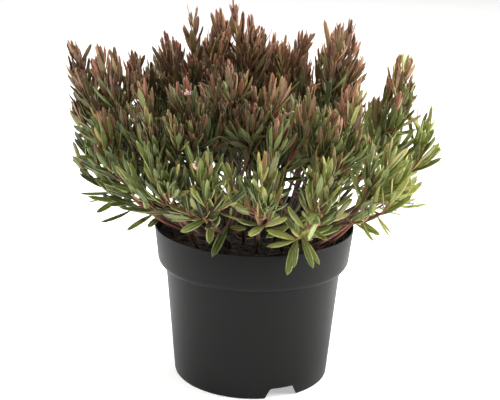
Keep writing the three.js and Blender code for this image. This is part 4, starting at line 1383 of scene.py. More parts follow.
@dataclass(frozen=True)
class Habit:
    """How the shrub grows. Pairs are for low and high stems, or for near and far."""

    foot_level: float = 127.0
    sunk_level: float = 115.0
    foot_drawn_in: Pair = (0.46, 0.36)
    drawn_in_levels: Pair = (170.0, 220.0)
    foot_swing: float = 2.0
    stem_radius: float = 2.0
    stem_out: float = 0.6
    stem_rise: float = 0.26
    rim_rise: float = 34.0
    stem_tip_hold: float = 0.46
    stem_bare: Pair = (38.0, 76.0)
    stem_rises: Pair = (40.0, 160.0)
    side_radius: float = 1.4
    side_drop: Pair = (8.0, 34.0)
    side_drop_low: float = 0.5  # how much of that a low stem's shoots drop
    side_drop_levels: Pair = (150.0, 230.0)
    side_spread: float = 9.0
    spread_by_drop: float = 0.5
    side_turn_swing: float = 0.5
    side_length: Pair = (52.0, 86.0)
    side_length_low: float = 0.45
    side_length_levels: Pair = (150.0, 250.0)
    side_fork_hold: float = 0.22
    side_out: float = 0.16
    side_tip_hold: float = 0.4
    side_bare: float = 9.0
    fork_lowest: float = 0.7
    tip_lean: Pair = (0.02, 0.3)
    tip_swing: float = 0.08
    sprawl_lean: float = 1.1
    sprawl_levels: Pair = (145.0, 190.0)
    crown_reach: Pair = (147.0, 127.0)
    twigs: tuple[int, int] = (3, 5)  # on the near side and on the far one
    far_side: float = 30.0
    twig_radius: float = 1.0
    twig_length: Pair = (22.0, 46.0)
    twig_fork: Pair = (0.42, 0.72)  # where twigs fork off, by the stem's length
    twig_turn_swing: float = 0.6
    twig_bend: Bend = Bend((0.5, 0.55, 0.35), (0.12, 0.3, 0.0), (0.4, 0.15, 0.7))
    twig_bare: float = 4.0
    tufts: int = 2
    tuft_fork: Pair = (20.0, 46.0)  # where tufts fork off, below a shoot's tip
    tuft_fork_lowest: float = 0.6
    tuft_length: Pair = (15.0, 30.0)
    tuft_bend: Bend = Bend((0.8, 0.42, 0.15), (0.15, 0.28, 0.0), (0.8, 0.0, 0.3))
    tuft_bare: float = 2.0
    tuft_lowest: float = 190.0  # no shoot that ends below this has tufts
    fine_tip_hold: float = 0.35
    gaps: tuple[Triple, ...] = ((43.0, 58.0, 246.0), (88.0, 109.0, 206.0))
    lost: tuple[tuple[int, int], ...] = (  # shoots that are missing, by stem and number
        (2, 6), (3, 7), (4, 6), (4, 7), (6, 6), (7, 7), (10, 8), (10, 13), (10, 14), (13, 5), (13, 6),
        (14, 9), (20, 5), (20, 6), (20, 9), (29, 4), (35, 4))

    def is_in_gap(self, shoot: Shoot) -> bool:
        """Whether a shoot ends in a gap of the crown, between two X and above a height."""
        tip = shoot.points[-1]
        return any(left < tip.x < right and tip.z > lowest for left, right, lowest in self.gaps)

    def crown_part(self, tip: Vector) -> float:
        """How far out a tip is, 1 being the crown's edge."""
        return math.hypot(tip.x / self.crown_reach[0], tip.y / self.crown_reach[1])

    def inside_crown(self, tip: Vector) -> Vector:
        """The tip, drawn in to the crown's edge where it is outside it."""
        reach = self.crown_part(tip)
        return Vector((tip.x / reach, tip.y / reach, tip.z)) if reach > 1 else tip

    def tip_direction(self, tip: Vector, *keys: int) -> Vector:
        """Says which way a shoot ends: upright, leaning out a little at the crown's edge.

        Args:
            tip: The shoot's tip.
            keys: The keys of its draws.

        Returns:
            The direction.
        """
        lean = mix(*self.tip_lean, self.crown_part(tip)) + mix(
            self.sprawl_lean, 0, share(tip.z, self.sprawl_levels))
        level = math.hypot(tip.x, tip.y) or 1
        return Vector((
            lean * tip.x / level + swing(self.tip_swing, *keys, 1),
            lean * tip.y / level + swing(self.tip_swing, *keys, 2),
            1,
        )).normalized()

    def leader(self, tip: Vector, number: int) -> Shoot:
        """Grows the stem itself: out of the peat, bent out over the rim and upright at its end.

        Args:
            tip: The stem's tip.
            number: The stem's number.

        Returns:
            The stem, as a shoot.
        """
        drawn_in = mix(*self.foot_drawn_in, share(tip.z, self.drawn_in_levels))
        foot = Vector((
            tip.x * drawn_in + swing(self.foot_swing, number, 91),
            tip.y * drawn_in + swing(self.foot_swing, number, 92),
            self.foot_level,
        ))
        out = Vector((tip.x - foot.x, tip.y - foot.y, 0))
        rise = tip.z - foot.z
        first = foot + self.stem_out * out + min(max(self.stem_rise * rise, self.rim_rise), rise) * UP
        last = tip - self.stem_tip_hold * rise * self.tip_direction(tip, number)
        bare = mix(*self.stem_bare, share(rise, self.stem_rises))
        return Shoot([foot, first, last, tip], self.stem_radius, bare)

    def side_shoot(self, main: Shoot, number: int, index: int, count: int) -> Shoot:
        """Grows a side shoot: it forks off well below its tip and ends beside the stem's tip.

        Args:
            main: The stem.
            number: The stem's number.
            index: The side shoot's number.
            count: How many side shoots the stem has.

        Returns:
            The side shoot.
        """
        tip = main.controls[-1]
        drop = mix(*self.side_drop, (index + draw(number, index, 21)) / count) * mix(
            self.side_drop_low, 1, share(tip.z, self.side_drop_levels))
        spread = self.side_spread + self.spread_by_drop * drop
        turn = 2 * math.pi * (index / count + draw(number, 22)) + swing(
            self.side_turn_swing, number, index, 23)
        end = self.inside_crown(Vector((
            tip.x + spread * math.cos(turn), tip.y + spread * math.sin(turn), tip.z - drop)))
        length = mix(*self.side_length, draw(number, index, 24)) * mix(
            self.side_length_low, 1, share(tip.z, self.side_length_levels))
        fork = main.at(min(drop + length, main.length * self.fork_lowest))
        span = (end - fork.place).length
        away = Vector((end.x - fork.place.x, end.y - fork.place.y, 0)).normalized()
        first = fork.place + self.side_fork_hold * span * fork.along + self.side_out * span * away
        last = end - self.side_tip_hold * span * self.tip_direction(end, number, index)
        return Shoot([fork.place, first, last, end], self.side_radius, self.side_bare)

    def fine_shoot(self, fork: Station, length: float, turn: float, bend: Bend, bare: float) -> Shoot:
        """Grows a short shoot out of a fork.

        Args:
            fork: Where it forks off.
            length: How long it is, about.
            turn: Which way it leaves, round its stem.
            bend: How it runs.
            bare: The length of its leafless foot.

        Returns:
            The shoot.
        """
        outward = math.cos(turn) * fork.side + math.sin(turn) * fork.other
        to_end, at_foot, at_tip = (
            along * fork.along + out * outward + up * UP for along, out, up in bend)
        end = self.inside_crown(fork.place + length * to_end)
        first = fork.place + length * at_foot
        last = end - self.fine_tip_hold * length * at_tip
        return Shoot([fork.place, first, last, end], self.twig_radius, bare)

    def twig(self, main: Shoot, number: int, index: int, count: int) -> Shoot:
        """Grows a short leafy twig that fills the crown below the tips.

        Args:
            main: The stem.
            number: The stem's number.
            index: The twig's number.
            count: How many twigs the stem has.

        Returns:
            The twig.
        """
        part = mix(*self.twig_fork, (index + draw(number, index, 61)) / count)
        fork = main.at(main.length * (1 - part))
        length = mix(*self.twig_length, draw(number, index, 62))
        turn = 2 * math.pi * (index / count + draw(number, 63)) + swing(
            self.twig_turn_swing, number, index, 64)
        return self.fine_shoot(fork, length, turn, self.twig_bend, self.twig_bare)

    def tuft(self, main: Shoot, number: int, index: int) -> Shoot:
        """Grows a short side shoot just below a tip, standing close beside it.

        Args:
            main: The shoot that it grows on.
            number: The stem's number.
            index: The tuft's number.

        Returns:
            The tuft's shoot.
        """
        below = mix(*self.tuft_fork, draw(number, index, 71))
        fork = main.at(min(below, main.length * self.tuft_fork_lowest))
        length = mix(*self.tuft_length, draw(number, index, 72))
        turn = 2 * math.pi * draw(number, index, 73)
        return self.fine_shoot(fork, length, turn, self.tuft_bend, self.tuft_bare)

    def grow(self, plan: Plan) -> list[Stem]:
        """Grows every stem of the plan.

        Args:
            plan: Where the stems' tips stand.

        Returns:
            The stems, in the plan's order.
        """
        stems = []
        for number, (x, y, z, sides) in enumerate(plan.tips()):
            main = self.leader(Vector((x, y, z)), number)
            shoots = [main, *(self.side_shoot(main, number, index, sides) for index in range(sides))]
            count = self.twigs[y > self.far_side] if sides else 0
            fine = [self.twig(main, number, index, count) for index in range(count)]
            tall = [shoot for shoot in (*shoots, *fine) if shoot.points[-1].z > self.tuft_lowest]
            fine += [
                self.tuft(shoot, number, index * self.tufts + tuft)
                for index, shoot in enumerate(tall) for tuft in range(self.tufts)
            ]
            shoots += [shoot for shoot in fine if not self.is_in_gap(shoot)]
            drawn = (DrawnShoot(*row) for row in (*FORKED_SHOOTS, *BARE_SHOOTS))
            shoots += [shoot.grown(main, self.foot_level) for shoot in drawn if shoot.stem == number]
            shoots = [shoot for index, shoot in enumerate(shoots) if (number, index) not in self.lost]
            rows = {**LEAVES_BY_HAND, **ADDED_LEAVES}.get(number, ())
            placed = [PlacedLeaf(*row) for row in rows]
            stems.append(Stem(number, shoots, placed, number in LEAVES_BY_HAND))
        return stems


@dataclass(frozen=True)
class LeafHabit:
    """How the leaves stand on a shoot, how big they are and how they are coloured.

    Of a pair, the first is for the shoot's tip or for low leaves, unless it says otherwise.
    """

    levels: Pair = (150.0, 290.0)  # of low leaves and of high ones
    lengths: Pair = (28.0, 17.0)
    slimness: Pair = (0.195, 0.205)  # width by length
    size_swing: float = 0.2
    young_reach: float = 16.0  # leaves this near to a tip are young
    young_size: float = 0.68
    young_form_below: float = 9.0
    root_out: float = 0.6  # where a leaf starts, by the wood's radius
    gaps: Pair = (1.7, 4.3)  # from leaf to leaf along the shoot
    gap_growth: float = 45.0
    turn_swing: float = 20.0
    rises: Pair = (11.0, 62.0)
    rise_reach: float = 84.0
    rise_swing: float = 12.0
    lift: float = 0.18
    arches: Pair = (4.0, 20.0)
    arch_swing: float = 10.0
    roll_swing: float = 0.25
    low_spread: float = 14.0  # how much more the leaves of low stems stand off
    sparse: float = 3.0  # and how much further apart they are
    sparse_levels: Pair = (165.0, 225.0)
    sparse_edge: float = 30.0  # behind this they stand as close as higher up
    widest: float = 0.6
    bronze_levels: Pair = (192.0, 270.0)
    bronze_swing: float = 0.42
    bronze_fade: float = 90.0  # leaves this far below a tip are greener
    bronze_faded: float = 0.4
    green_side: Pair = (88.0, 128.0)  # towards the right the shrub stayed greener
    bronze_of_side: float = 0.6
    flush: Pair = (0.3, 1.0)  # the least and the most that a tip is flushed
    lot_of_shoot: float = 0.35  # how much a leaf's shade is its shoot's
    lot_spread: float = 1.4
    shade: float = 0.62  # painted shade: how much darker the leaves deep inside the crown are painted, where the crown shades them
    painted_shade_depths: Pair = (10.0, 48.0)
    edge_low: float = 0.58  # the crown's width at the rim, by its full width
    edge_levels: Pair = (130.0, 205.0)
    painted_light_to_right: float = 0.38  # painted light and shade: how much lighter the leaves are painted towards the right, and darker towards the left
    painted_light_to_right_parts: Pair = (1.15, 0.35)
    new_lot: float = 0.7  # the shade of a new shoot's leaves, at least
    placed_bronze: Pair = (0.7, 0.3)  # by its height and by its draw
    placed_lots: Pair = (0.3, 0.85)
    dodges: tuple[Pair, ...] = (
        (0, 0), (22, 0), (-22, 0), (0, -9), (0, 10), (40, 0), (-40, 0), (25, 12), (-25, 12), (60, -6),
        (-60, -6), (90, 0), (-90, 0), (120, 8), (-120, 8), (180, 0),
    )  # degrees aside and up that a leaf tries in turn
    pot_room: float = 2.0
    crown_room: Pair = (156.0, 139.0)  # no leaf reaches out of this ellipse

    def reach(self, spot: Vector) -> float:
        """How far out a point is, 1 being the most that a leaf may."""
        return math.hypot(spot.x / self.crown_room[0], spot.y / self.crown_room[1])

    def depth(self, spot: Vector, top: float) -> float:
        """How deep inside the crown a point is, below a stem's top and in from the crown's edge, for the
        painted shade.
        """
        edge = mix(self.edge_low, 1, share(spot.z, self.edge_levels))
        return min(top - spot.z, (edge - self.reach(spot)) * self.crown_room[1])

    def tone(self, shoot: Shoot, place: Vector, below: float, top: float, keys: tuple[int, ...]) -> Triple:
        """Colours one leaf.

        Args:
            shoot: The shoot that it stands on.
            place: Where it leaves the shoot.
            below: The distance below the shoot's tip.
            top: The height of its stem's tip.
            keys: The keys of its draws.

        Returns:
            How bronze it is, how pale its shade is, with the painted shade and painted light in that, and
            how flushed it is.
        """
        bronze = mix(0, 1, share(place.z, self.bronze_levels))
        bronze *= mix(1, self.bronze_faded, below / self.bronze_fade)
        bronze += swing(self.bronze_swing, *keys, 6)
        bronze *= mix(1, self.bronze_of_side, share(place.x, self.green_side))
        lot = mix(draw(*keys, 7), draw(*keys[:2], 9), self.lot_of_shoot)
        lot = 0.5 + self.lot_spread * (lot - 0.5)
        # painted shade: the leaves deep inside the crown are darkened
        lot *= mix(1, 1 - self.shade, share(self.depth(place, top), self.painted_shade_depths))
        # painted light towards the right and painted shade towards the left
        painted_right_light = self.painted_light_to_right * mix(*self.painted_light_to_right_parts, share(place.z, self.levels))
        lot += painted_right_light * place.x / self.crown_room[0]
        youth = mix(1, 0, below / self.young_reach) * mix(*self.flush, draw(*keys[:2], 10))
        if shoot.is_new:
            bronze, lot = youth * draw(*keys, 6), mix(self.new_lot, 1, lot)
        return mix(0, 1, bronze), mix(0, 1, lot), youth * draw(*keys, 8)

    def leaf(self, shoot: Shoot, below: float, turn: float, rise: float, top: float,
             keys: tuple[int, ...]) -> Leaf:
        """Stands one leaf on a shoot.

        Args:
            shoot: The shoot.
            below: The distance below its tip.
            turn: The turn round the shoot.
            rise: The angle between the shoot and the leaf.
            top: The height of its stem's tip.
            keys: The keys of its draws.

        Returns:
            The leaf.
        """
        spot = shoot.at(below)
        outward = math.cos(turn) * spot.side + math.sin(turn) * spot.other
        direction = (math.cos(rise) * spot.along + math.sin(rise) * outward + self.lift * UP).normalized()
        face = math.sin(rise) * spot.along - math.cos(rise) * outward
        face = (face - face.dot(direction) * direction).normalized()
        roll = swing(self.roll_swing, *keys, 5)
        face = math.cos(roll) * face + math.sin(roll) * direction.cross(face)
        arch = math.radians(
            mix(*self.arches, below / self.rise_reach) + swing(self.arch_swing, *keys, 4))
        height = share(spot.place.z, self.levels)
        size = mix(self.young_size, 1, below / self.young_reach) * (
            1 + swing(self.size_swing, *keys, 3))
        length = mix(*self.lengths, height) * size * shoot.leaf_size
        width = length * mix(*self.slimness, height)
        root = spot.place + self.root_out * shoot.radius_at(below) * outward
        tone = self.tone(shoot, spot.place, below, top, keys)
        return Leaf(root, direction, face, length, width, arch, tone, below < self.young_form_below)

    def placed(self, leaf: PlacedLeaf, stem: Stem, count: int) -> Leaf:
        """Grows a listed leaf from the nearest wood of its stem.

        Args:
            leaf: Where it stands.
            stem: The stem.
            count: Its number, for its draws.

        Returns:
            The leaf.
        """
        root = Vector(leaf.root)
        roots = [shoot.nearest(root) for shoot in stem.shoots]
        root = min(roots, key=lambda place: (place - root).length)
        arch = math.radians(leaf.arch)
        line = Vector(leaf.tip) - root
        face = Vector(leaf.looks)
        face = (face - face.dot(line) / line.length_squared * line).normalized()
        direction = math.cos(arch / 2) * line.normalized() - math.sin(arch / 2) * face
        face = (face - face.dot(direction) * direction).normalized()
        keys = (stem.number, 50, count)
        by_height, by_draw = self.placed_bronze
        bronze = mix(0, by_height, share(root.z, self.bronze_levels)) + by_draw * draw(*keys, 6)
        # the same painted light towards the right and painted shade towards the left
        painted_right_light = self.painted_light_to_right * root.x / self.crown_room[0]
        tone = (bronze, painted_right_light + mix(*self.placed_lots, draw(*keys, 7)), 0.0)
        return Leaf(root, direction, face, line.length, leaf.width, arch, tone, False)

    def station(self, leaf: Leaf, part: float) -> Vector:
        """Finds the point of a leaf's middle line at a part of its length.

        Args:
            leaf: The leaf.
            part: The part, from 0 at its root to 1 at its tip.

        Returns:
            The point.
        """
        bend = leaf.arch * part
        return leaf.place + leaf.length * part * (
            math.cos(bend / 2) * leaf.direction + math.sin(bend / 2) * leaf.face)

    def is_astray(self, spot: Vector, pot: Pot, peat: Peat) -> bool:
        """Says whether a point is outside the crown, or too near to the pot's rim or to the peat.

        Args:
            spot: The point.
            pot: The pot.
            peat: The peat.

        Returns:
            Whether it is.
        """
        radius = math.hypot(spot.x, spot.y)
        inner = pot.rim_radius - 2 * pot.wall - self.pot_room
        over_rim = inner < radius < pot.rim_radius + self.pot_room
        return self.reach(spot) > 1 or (over_rim and spot.z < pot.height + self.pot_room) or (
            radius < pot.rim_radius and spot.z < peat.level + self.pot_room)

    def leaves(self, stem: Stem, pot: Pot, peat: Peat) -> list[Leaf]:
        """Grows every leaf of a stem, from each shoot's tip down, turned aside where it strays.

        Args:
            stem: The stem.
            pot: The pot, which the leaves clear.
            peat: The peat, likewise.

        Returns:
            The leaves.
        """
        found = [self.placed(leaf, stem, count) for count, leaf in enumerate(stem.placed)]
        top = stem.shoots[0].points[-1].z
        for index, shoot in enumerate(stem.shoots):
            if index == 0 and stem.by_hand:
                continue
            first_turn = 360 * draw(stem.number, index, 31)
            below = 1.0
            count = 0
            while below < shoot.length - shoot.bare:
                keys = (stem.number, index, count)
                spot = shoot.at(below).place
                raised = 1.0 if spot.y > self.sparse_edge else share(spot.z, self.sparse_levels)
                turn = math.radians(first_turn + LEAF_TURN * count + swing(self.turn_swing, *keys, 1))
                rise = math.radians(
                    mix(*self.rises, below / self.rise_reach) + mix(self.low_spread, 0, raised)
                    + swing(self.rise_swing, *keys, 2))
                for aside, up in self.dodges:
                    leaf = self.leaf(
                        shoot, below, turn + math.radians(aside), rise + math.radians(up), top, keys)
                    ends = (self.station(leaf, self.widest), self.station(leaf, 1.0))
                    if not any(self.is_astray(end, pot, peat) for end in ends):
                        found.append(leaf)
                        break
                below += mix(*self.gaps, below / self.gap_growth) * mix(self.sparse, 1, raised)
                count += 1
        return found


# The forms of a leaf and of the wood


@dataclass(frozen=True)
class LeafForm:
    """One leaf modelled flat, at its real size: grooved, with its margins rolled under."""

    length: float = 25.0
    width: float = 5.9
    columns: int = 4
    rows: tuple[Pair, ...] = (
        (0.0, 0.2), (0.12, 0.5), (0.36, 0.93), (0.66, 1.0), (0.9, 0.72), (1.0, 0.18))
    thickness: float = 0.5
    margin_roll: float = 0.85
    rib_groove: float = 0.5
    swell: float = 0.12
    apex: float = 0.6

    def model(self, name: str) -> Form:
        """Shapes the blade row by row, and gives it its thickness.

        Args:
            name: What the form is called while it is modelled.

        Returns:
            The form, in half widths across and above, and in lengths along.
        """
        blade = primitive(
            bpy.ops.mesh.primitive_grid_add, name, size=self.width * MM,
            x_subdivisions=self.columns, y_subdivisions=len(self.rows) - 1,
        )
        step = self.width * MM / (len(self.rows) - 1)
        half = self.width * MM / 2
        row_of = {c.index: round((c.co.y + half) / step) for c in blade.data.vertices}
        column_of = {c.index: c.co.x / half for c in blade.data.vertices}
        start_editing()
        for row, (part, width) in enumerate(self.rows):
            select_corners(blade, lambda corner: row_of[corner.index] == row)
            lift = part * self.length * MM - (row * step - half)
            bpy.ops.transform.translate(value=(0, lift, 0))
            bpy.ops.transform.resize(value=(width, 1, 1), center_override=(0, 0, 0))
            for column, rise in ((1.0, -self.margin_roll), (0.5, self.swell), (0.0, -self.rib_groove)):
                select_corners(
                    blade,
                    lambda corner: row_of[corner.index] == row
                    and abs(abs(column_of[corner.index]) - column) < CENTRED,
                )
                bpy.ops.transform.translate(value=(0, 0, rise * width * MM))
        last = len(self.rows) - 1
        select_corners(blade, lambda c: row_of[c.index] == last and abs(column_of[c.index]) < CENTRED)
        bpy.ops.transform.translate(value=(0, self.apex * MM, 0))
        stop_editing()
        top = len(blade.data.vertices)
        apply_modifier(blade, "SOLIDIFY", thickness=self.thickness * MM, offset=-1.0)
        form = Form.taken_from(blade, top)
        scale = np.array([self.width / 2, self.length, self.width / 2]) * MM
        return Form(form.corners / scale, form.faces, form.under)


@dataclass(frozen=True)
class TubeForm:
    """A straight tube of even rings, one long and one in radius, that wood is bent from."""

    sides: int = 6
    rings: int = 12

    def model(self) -> Form:
        """Extrudes the tube ring by ring.

        Returns:
            The form.
        """
        tube = primitive(
            bpy.ops.mesh.primitive_circle_add, "tube", vertices=self.sides, radius=1.0, fill_type="NGON",
        )
        start_editing()
        bpy.ops.mesh.select_all(action="SELECT")
        for _ in range(self.rings):
            bpy.ops.mesh.extrude_region_move(TRANSFORM_OT_translate={"value": (0, 0, 1 / self.rings)})
        bpy.ops.mesh.select_all(action="SELECT")
        bpy.ops.mesh.normals_make_consistent(inside=False)
        stop_editing()
        return Form.taken_from(tube)


def wood_corners(
    tube: Form, shoot: Shoot, sunk_level: float | None, keys: tuple[int, ...] = (),
) -> np.ndarray:
    """Bends the tube along a shoot.

    Args:
        tube: The tube's form.
        shoot: The shoot.
        sunk_level: The height that its foot goes straight down to, if it stands in the peat.
        keys: The keys of the draws that make it knobbly, if it is.

    Returns:
        The places of the tube's corners, in millimetres.
    """
    parts = tube.corners[:, 2]
    corners = np.empty_like(tube.corners)
    for level in np.unique(np.round(parts, RING_DIGITS)):
        ring = np.abs(parts - level) < SAME_RING
        below = shoot.length * (1 - float(level))
        spot = shoot.at(below)
        place = Vector(spot.place)
        if sunk_level is not None and level < SAME_RING:
            place.z = sunk_level
        radius = shoot.radius_at(below)
        if keys:
            radius *= 1 + swing(KNOBBLY, *keys, int(level * 100))
        offsets = tube.corners[ring][:, :2] * radius
        corners[ring] = np.array(place) + offsets[:, :1] * np.array(spot.side) + offsets[:, 1:] * np.array(
            spot.other)
    return corners


def leaf_corners(form: Form, leaf: Leaf) -> np.ndarray:
    """Bends a leaf's form into its place.

    Args:
        form: The leaf's form.
        leaf: The leaf.

    Returns:
        The places of the leaf's corners, in millimetres.
    """
    direction = np.array(leaf.direction)
    face = np.array(leaf.face)
    across = np.cross(direction, face)
    half = leaf.width / 2
    part = form.corners[:, 1:2]
    bend = leaf.arch * part
    centre = np.array(leaf.place) + leaf.length * part * (
        np.cos(bend / 2) * direction + np.sin(bend / 2) * face)
    rise = np.cos(bend) * face - np.sin(bend) * direction
    return centre + form.corners[:, :1] * half * across + form.corners[:, 2:] * half * rise


# The leafy stems


@dataclass(frozen=True)
class Foliage:
    """The shrub's leafy stems, each a piece of wood and a piece of leaves."""

    plan: Plan = Plan()
    habit: Habit = Habit()
    leaf_habit: LeafHabit = LeafHabit()
    full_leaf: LeafForm = LeafForm()
    young_leaf: LeafForm = LeafForm(
        columns=2, rows=((0.0, 0.26), (0.22, 0.78), (0.55, 1.0), (0.86, 0.74), (1.0, 0.16)))
    skin: LeafSkin = LeafSkin()
    bark: Bark = Bark()
    bronze_level: float = 236.0
    tip_age: float = 0.3  # the most that the wood at a tip looks old
    bark_ageing: float = 95.0  # wood this far below its tip is old
    yellow: float = 0.7
    yellow_reach: float = 60.0  # the wood loses its yellow down from the tips of the high shoots
    yellow_levels: Pair = (190.0, 250.0)

    def build(self, pot: Pot, peat: Peat, tube: Form) -> list[Stem]:
        """Grows the stems, models their leaves and dresses them.

        Args:
            pot: The pot, which the leaves clear.
            peat: The peat, likewise.
            tube: The form that the wood is bent from.

        Returns:
            The stems.
        """
        stems = self.habit.grow(self.plan)
        forms = {False: self.full_leaf.model("full_leaf"), True: self.young_leaf.model("young_leaf")}
        skin = self.skin.material()
        bark = self.bark.material()
        for stem in stems:
            for piece, material in (
                    (self.leaf_piece(stem, forms, pot, peat), skin), (self.wood_piece(stem, tube), bark)):
                hand_over(piece, material, [stem.node])
        return stems

    def leaf_piece(self, stem: Stem, forms: dict[bool, Form], pot: Pot, peat: Peat) -> Object:
        """Models all the leaves of a stem.

        Args:
            stem: The stem.
            forms: The forms of a full leaf and of a young one.
            pot: The pot, which the leaves clear.
            peat: The peat, likewise.

        Returns:
            The leaves, as one piece.
        """
        bundle = Bundle()
        for leaf in self.leaf_habit.leaves(stem, pot, peat):
            form = forms[leaf.is_young]
            blade = np.column_stack([form.corners[:, 0], form.corners[:, 1], form.under])
            tone = np.tile(np.array(leaf.tone), (len(form.corners), 1))
            bundle.add(form, leaf_corners(form, leaf), {"blade": blade, "tone": tone})
        return bundle.piece(f"stem_{stem.number + 1:02d}_leaves")

    def wood_piece(self, stem: Stem, tube: Form) -> Object:
        """Models the wood of a stem with its side shoots and twigs.

        Args:
            stem: The stem.
            tube: The form that the wood is bent from.

        Returns:
            The wood, as one piece.
        """
        bundle = Bundle()
        for index, shoot in enumerate(stem.shoots):
            sunk = self.habit.sunk_level if index == 0 else None
            corners = wood_corners(tube, shoot, sunk, (stem.number, index, 41))
            below = shoot.length * (1 - tube.corners[:, 2])
            start = mix(0, self.tip_age, draw(stem.number, index, 42))
            age = np.clip(start + below / self.bark_ageing, 0, 1)
            yellow = mix(0, self.yellow, share(shoot.points[-1].z, self.yellow_levels))
            yellow = yellow - below / self.yellow_reach
            tint = np.clip(draw(stem.number, index, 43) ** 2 + yellow, 0, 1)
            bundle.add(tube, corners, {"wood": np.column_stack([age, tint, np.zeros(len(age))])})
        return bundle.piece(f"stem_{stem.number + 1:02d}_wood")


@dataclass(frozen=True)
class Buds:
    """The few clusters of closed flower buds, each hanging close round a shoot's tip."""

    shoots: tuple[tuple[int, int], ...] = ((16, 0), (15, 17), (16, 15), (4, 3), (15, 11), (19, 1), (24, 0))
    count: int = 7
    lengths: Pair = (4.2, 5.4)
    slimness: float = 0.72
    mouth: float = 0.2  # where it starts, in lengths above the middle
    mouth_width: float = 0.7
    reach: float = 2.9
    below: float = 0.9
    outward: Pair = (0.3, 1.4)
    finish: BudScale = BudScale()

    def model(self) -> Form:
        """Shapes one bud: an egg, drawn in at its mouth.

        Returns:
            The form, one long.
        """
        bud = primitive(bpy.ops.mesh.primitive_uv_sphere_add, "bud", segments=8, ring_count=6, radius=0.5)
        start_editing()
        bpy.ops.mesh.select_all(action="SELECT")
        bpy.ops.transform.resize(value=(self.slimness, self.slimness, 1.0), center_override=(0, 0, 0))
        select_corners(bud, lambda corner: corner.co.z > self.mouth)
        bpy.ops.transform.resize(
            value=(self.mouth_width, self.mouth_width, 1.0), center_override=(0, 0, 0))
        stop_editing()
        return Form.taken_from(bud)

    def build(self, stems: Sequence[Stem]) -> None:
        """Sets the buds round their shoots' tips and dresses them.

        Args:
            stems: All the stems.
        """
        form = self.model()
        bundle = Bundle()
        for number, index in self.shoots:
            for bud in range(self.count):
                keys = (number, index, bud)
                spot = stems[number].shoots[index].at(self.below + self.below * draw(*keys, 51))
                angle = 2 * math.pi * (bud + draw(*keys, 52)) / self.count
                outward = math.cos(angle) * spot.side + math.sin(angle) * spot.other
                axis = (spot.along + mix(*self.outward, draw(*keys, 53)) * outward).normalized()
                turn = np.array(axis.to_track_quat("Z", "Y").to_matrix())
                length = mix(*self.lengths, draw(*keys, 54))
                place = np.array(spot.place + self.reach * axis)
                bundle.add(form, form.corners @ turn.T * length + place, {})
        piece = bundle.piece("flower_buds")
        nodes = sorted({stems[number].node for number, _ in self.shoots})
        hand_over(piece, self.finish.material(), nodes)


# The studio


@dataclass(frozen=True)
class StudioCamera:
    """The camera of the view that the shrub was measured in, aimed so that it needs no shift."""

    look_down: float = 18.39  # degrees down to the middle of the rim
    distance: float = 1088.4
    roll: float = 1.61  # degrees, clockwise in the picture
    focal_pixels: float = 1273.5
    picture: tuple[int, int] = (500, 400)
    rim_pixel: Pair = (254.27, 222.10)
    clip: Pair = (0.05, 20.0)  # metres

    def build(self, pot: Pot) -> None:
        """Makes the camera and makes it the scene's.

        Args:
            pot: The pot, whose rim the camera was fitted to.
        """
        down = math.radians(self.look_down)
        roll = math.radians(self.roll)
        forward = Vector((0, math.cos(down), -math.sin(down)))
        upward = Vector((0, math.sin(down), math.cos(down)))
        rolled_right = math.cos(roll) * ACROSS + math.sin(roll) * upward
        rolled_up = math.cos(roll) * upward - math.sin(roll) * ACROSS
        from_middle = (self.rim_pixel[0] - self.picture[0] / 2, self.rim_pixel[1] - self.picture[1] / 2)
        aim = (self.focal_pixels * forward - from_middle[0] * rolled_right
               + from_middle[1] * rolled_up).normalized()
        level = (rolled_right - rolled_right.dot(aim) * aim).normalized()
        top = level.cross(aim)
        eye = Vector((0, 0, pot.height)) - self.distance * forward
        deselect_all()
        bpy.ops.object.camera_add()
        camera = bpy.context.active_object
        camera.name = "camera"
        turn = Matrix((level, top, -aim)).transposed()
        camera.matrix_world = Matrix.Translation(eye * MM) @ turn.to_4x4()
        camera.data.lens = self.focal_pixels / self.picture[0] * camera.data.sensor_width
        camera.data.clip_start, camera.data.clip_end = self.clip
        bpy.context.scene.camera = camera


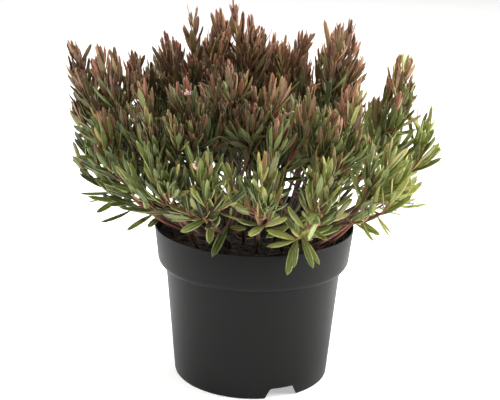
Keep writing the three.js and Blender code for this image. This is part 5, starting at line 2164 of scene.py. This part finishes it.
@dataclass(frozen=True)
class Studio:
    """A pale paper floor and soft light: a box on each side, one above and a white room."""

    floor_size: float = 8.0
    room: str = "ffffff"
    room_strength: float = 0.16
    boxes: tuple[tuple[Triple, float, float], ...] = (
        ((-1.5, 0.1, 0.75), 1.0, 28.0),
        ((1.5, 0.0, 0.75), 1.0, 48.0),
        ((-0.1, -0.1, 2.0), 1.2, 54.0),
    )  # place, width and power
    target: Triple = (0.0, 0.0, 0.17)
    finish: PaperSweep = PaperSweep()

    def build(self) -> None:
        """Lays the floor, hangs the lights and lights the room."""
        floor = primitive(bpy.ops.mesh.primitive_plane_add, "paper_floor", size=self.floor_size)
        floor.data.materials.append(self.finish.material())
        floor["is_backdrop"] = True
        for index, (place, width, power) in enumerate(self.boxes):
            deselect_all()
            bpy.ops.object.light_add(type="AREA", location=place)
            lamp = bpy.context.active_object
            lamp.name = f"soft_box_{index}"
            lamp.data.size = width
            lamp.data.energy = power
            aim = Vector(self.target) - Vector(place)
            lamp.rotation_euler = aim.to_track_quat("-Z", "Y").to_euler()
        world = bpy.data.worlds.new("white room")
        world.use_nodes = True
        backdrop = world.node_tree.nodes["Background"]
        backdrop.inputs["Color"].default_value = linear(self.room)
        backdrop.inputs["Strength"].default_value = self.room_strength
        bpy.context.scene.world = world
        bpy.context.scene.view_settings.view_transform = "Standard"


def report_total() -> None:
    """Reports how many triangles the dressed part has in all."""
    total = sum(len(face.vertices) - 2 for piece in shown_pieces() for face in piece.data.polygons)
    LOG.info("%d triangles in all", total)


def write_sizes() -> None:
    """Updates the view layer."""
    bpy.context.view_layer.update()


def main() -> None:
    """Builds the pot, the peat and the shrub in their studio."""
    logging.basicConfig(level=logging.INFO, format="%(name)s: %(message)s")
    pot = Pot()
    peat = Peat()
    StudioCamera().build(pot)
    Studio().build()
    pot.build()
    surface = peat.build(pot)
    tube = TubeForm().model()
    Litter().build(surface, peat.level, tube)
    stems = Foliage().build(pot, peat, tube)
    Buds().build(stems)
    report_total()
    write_sizes()


if __name__ == "__main__":
    main()
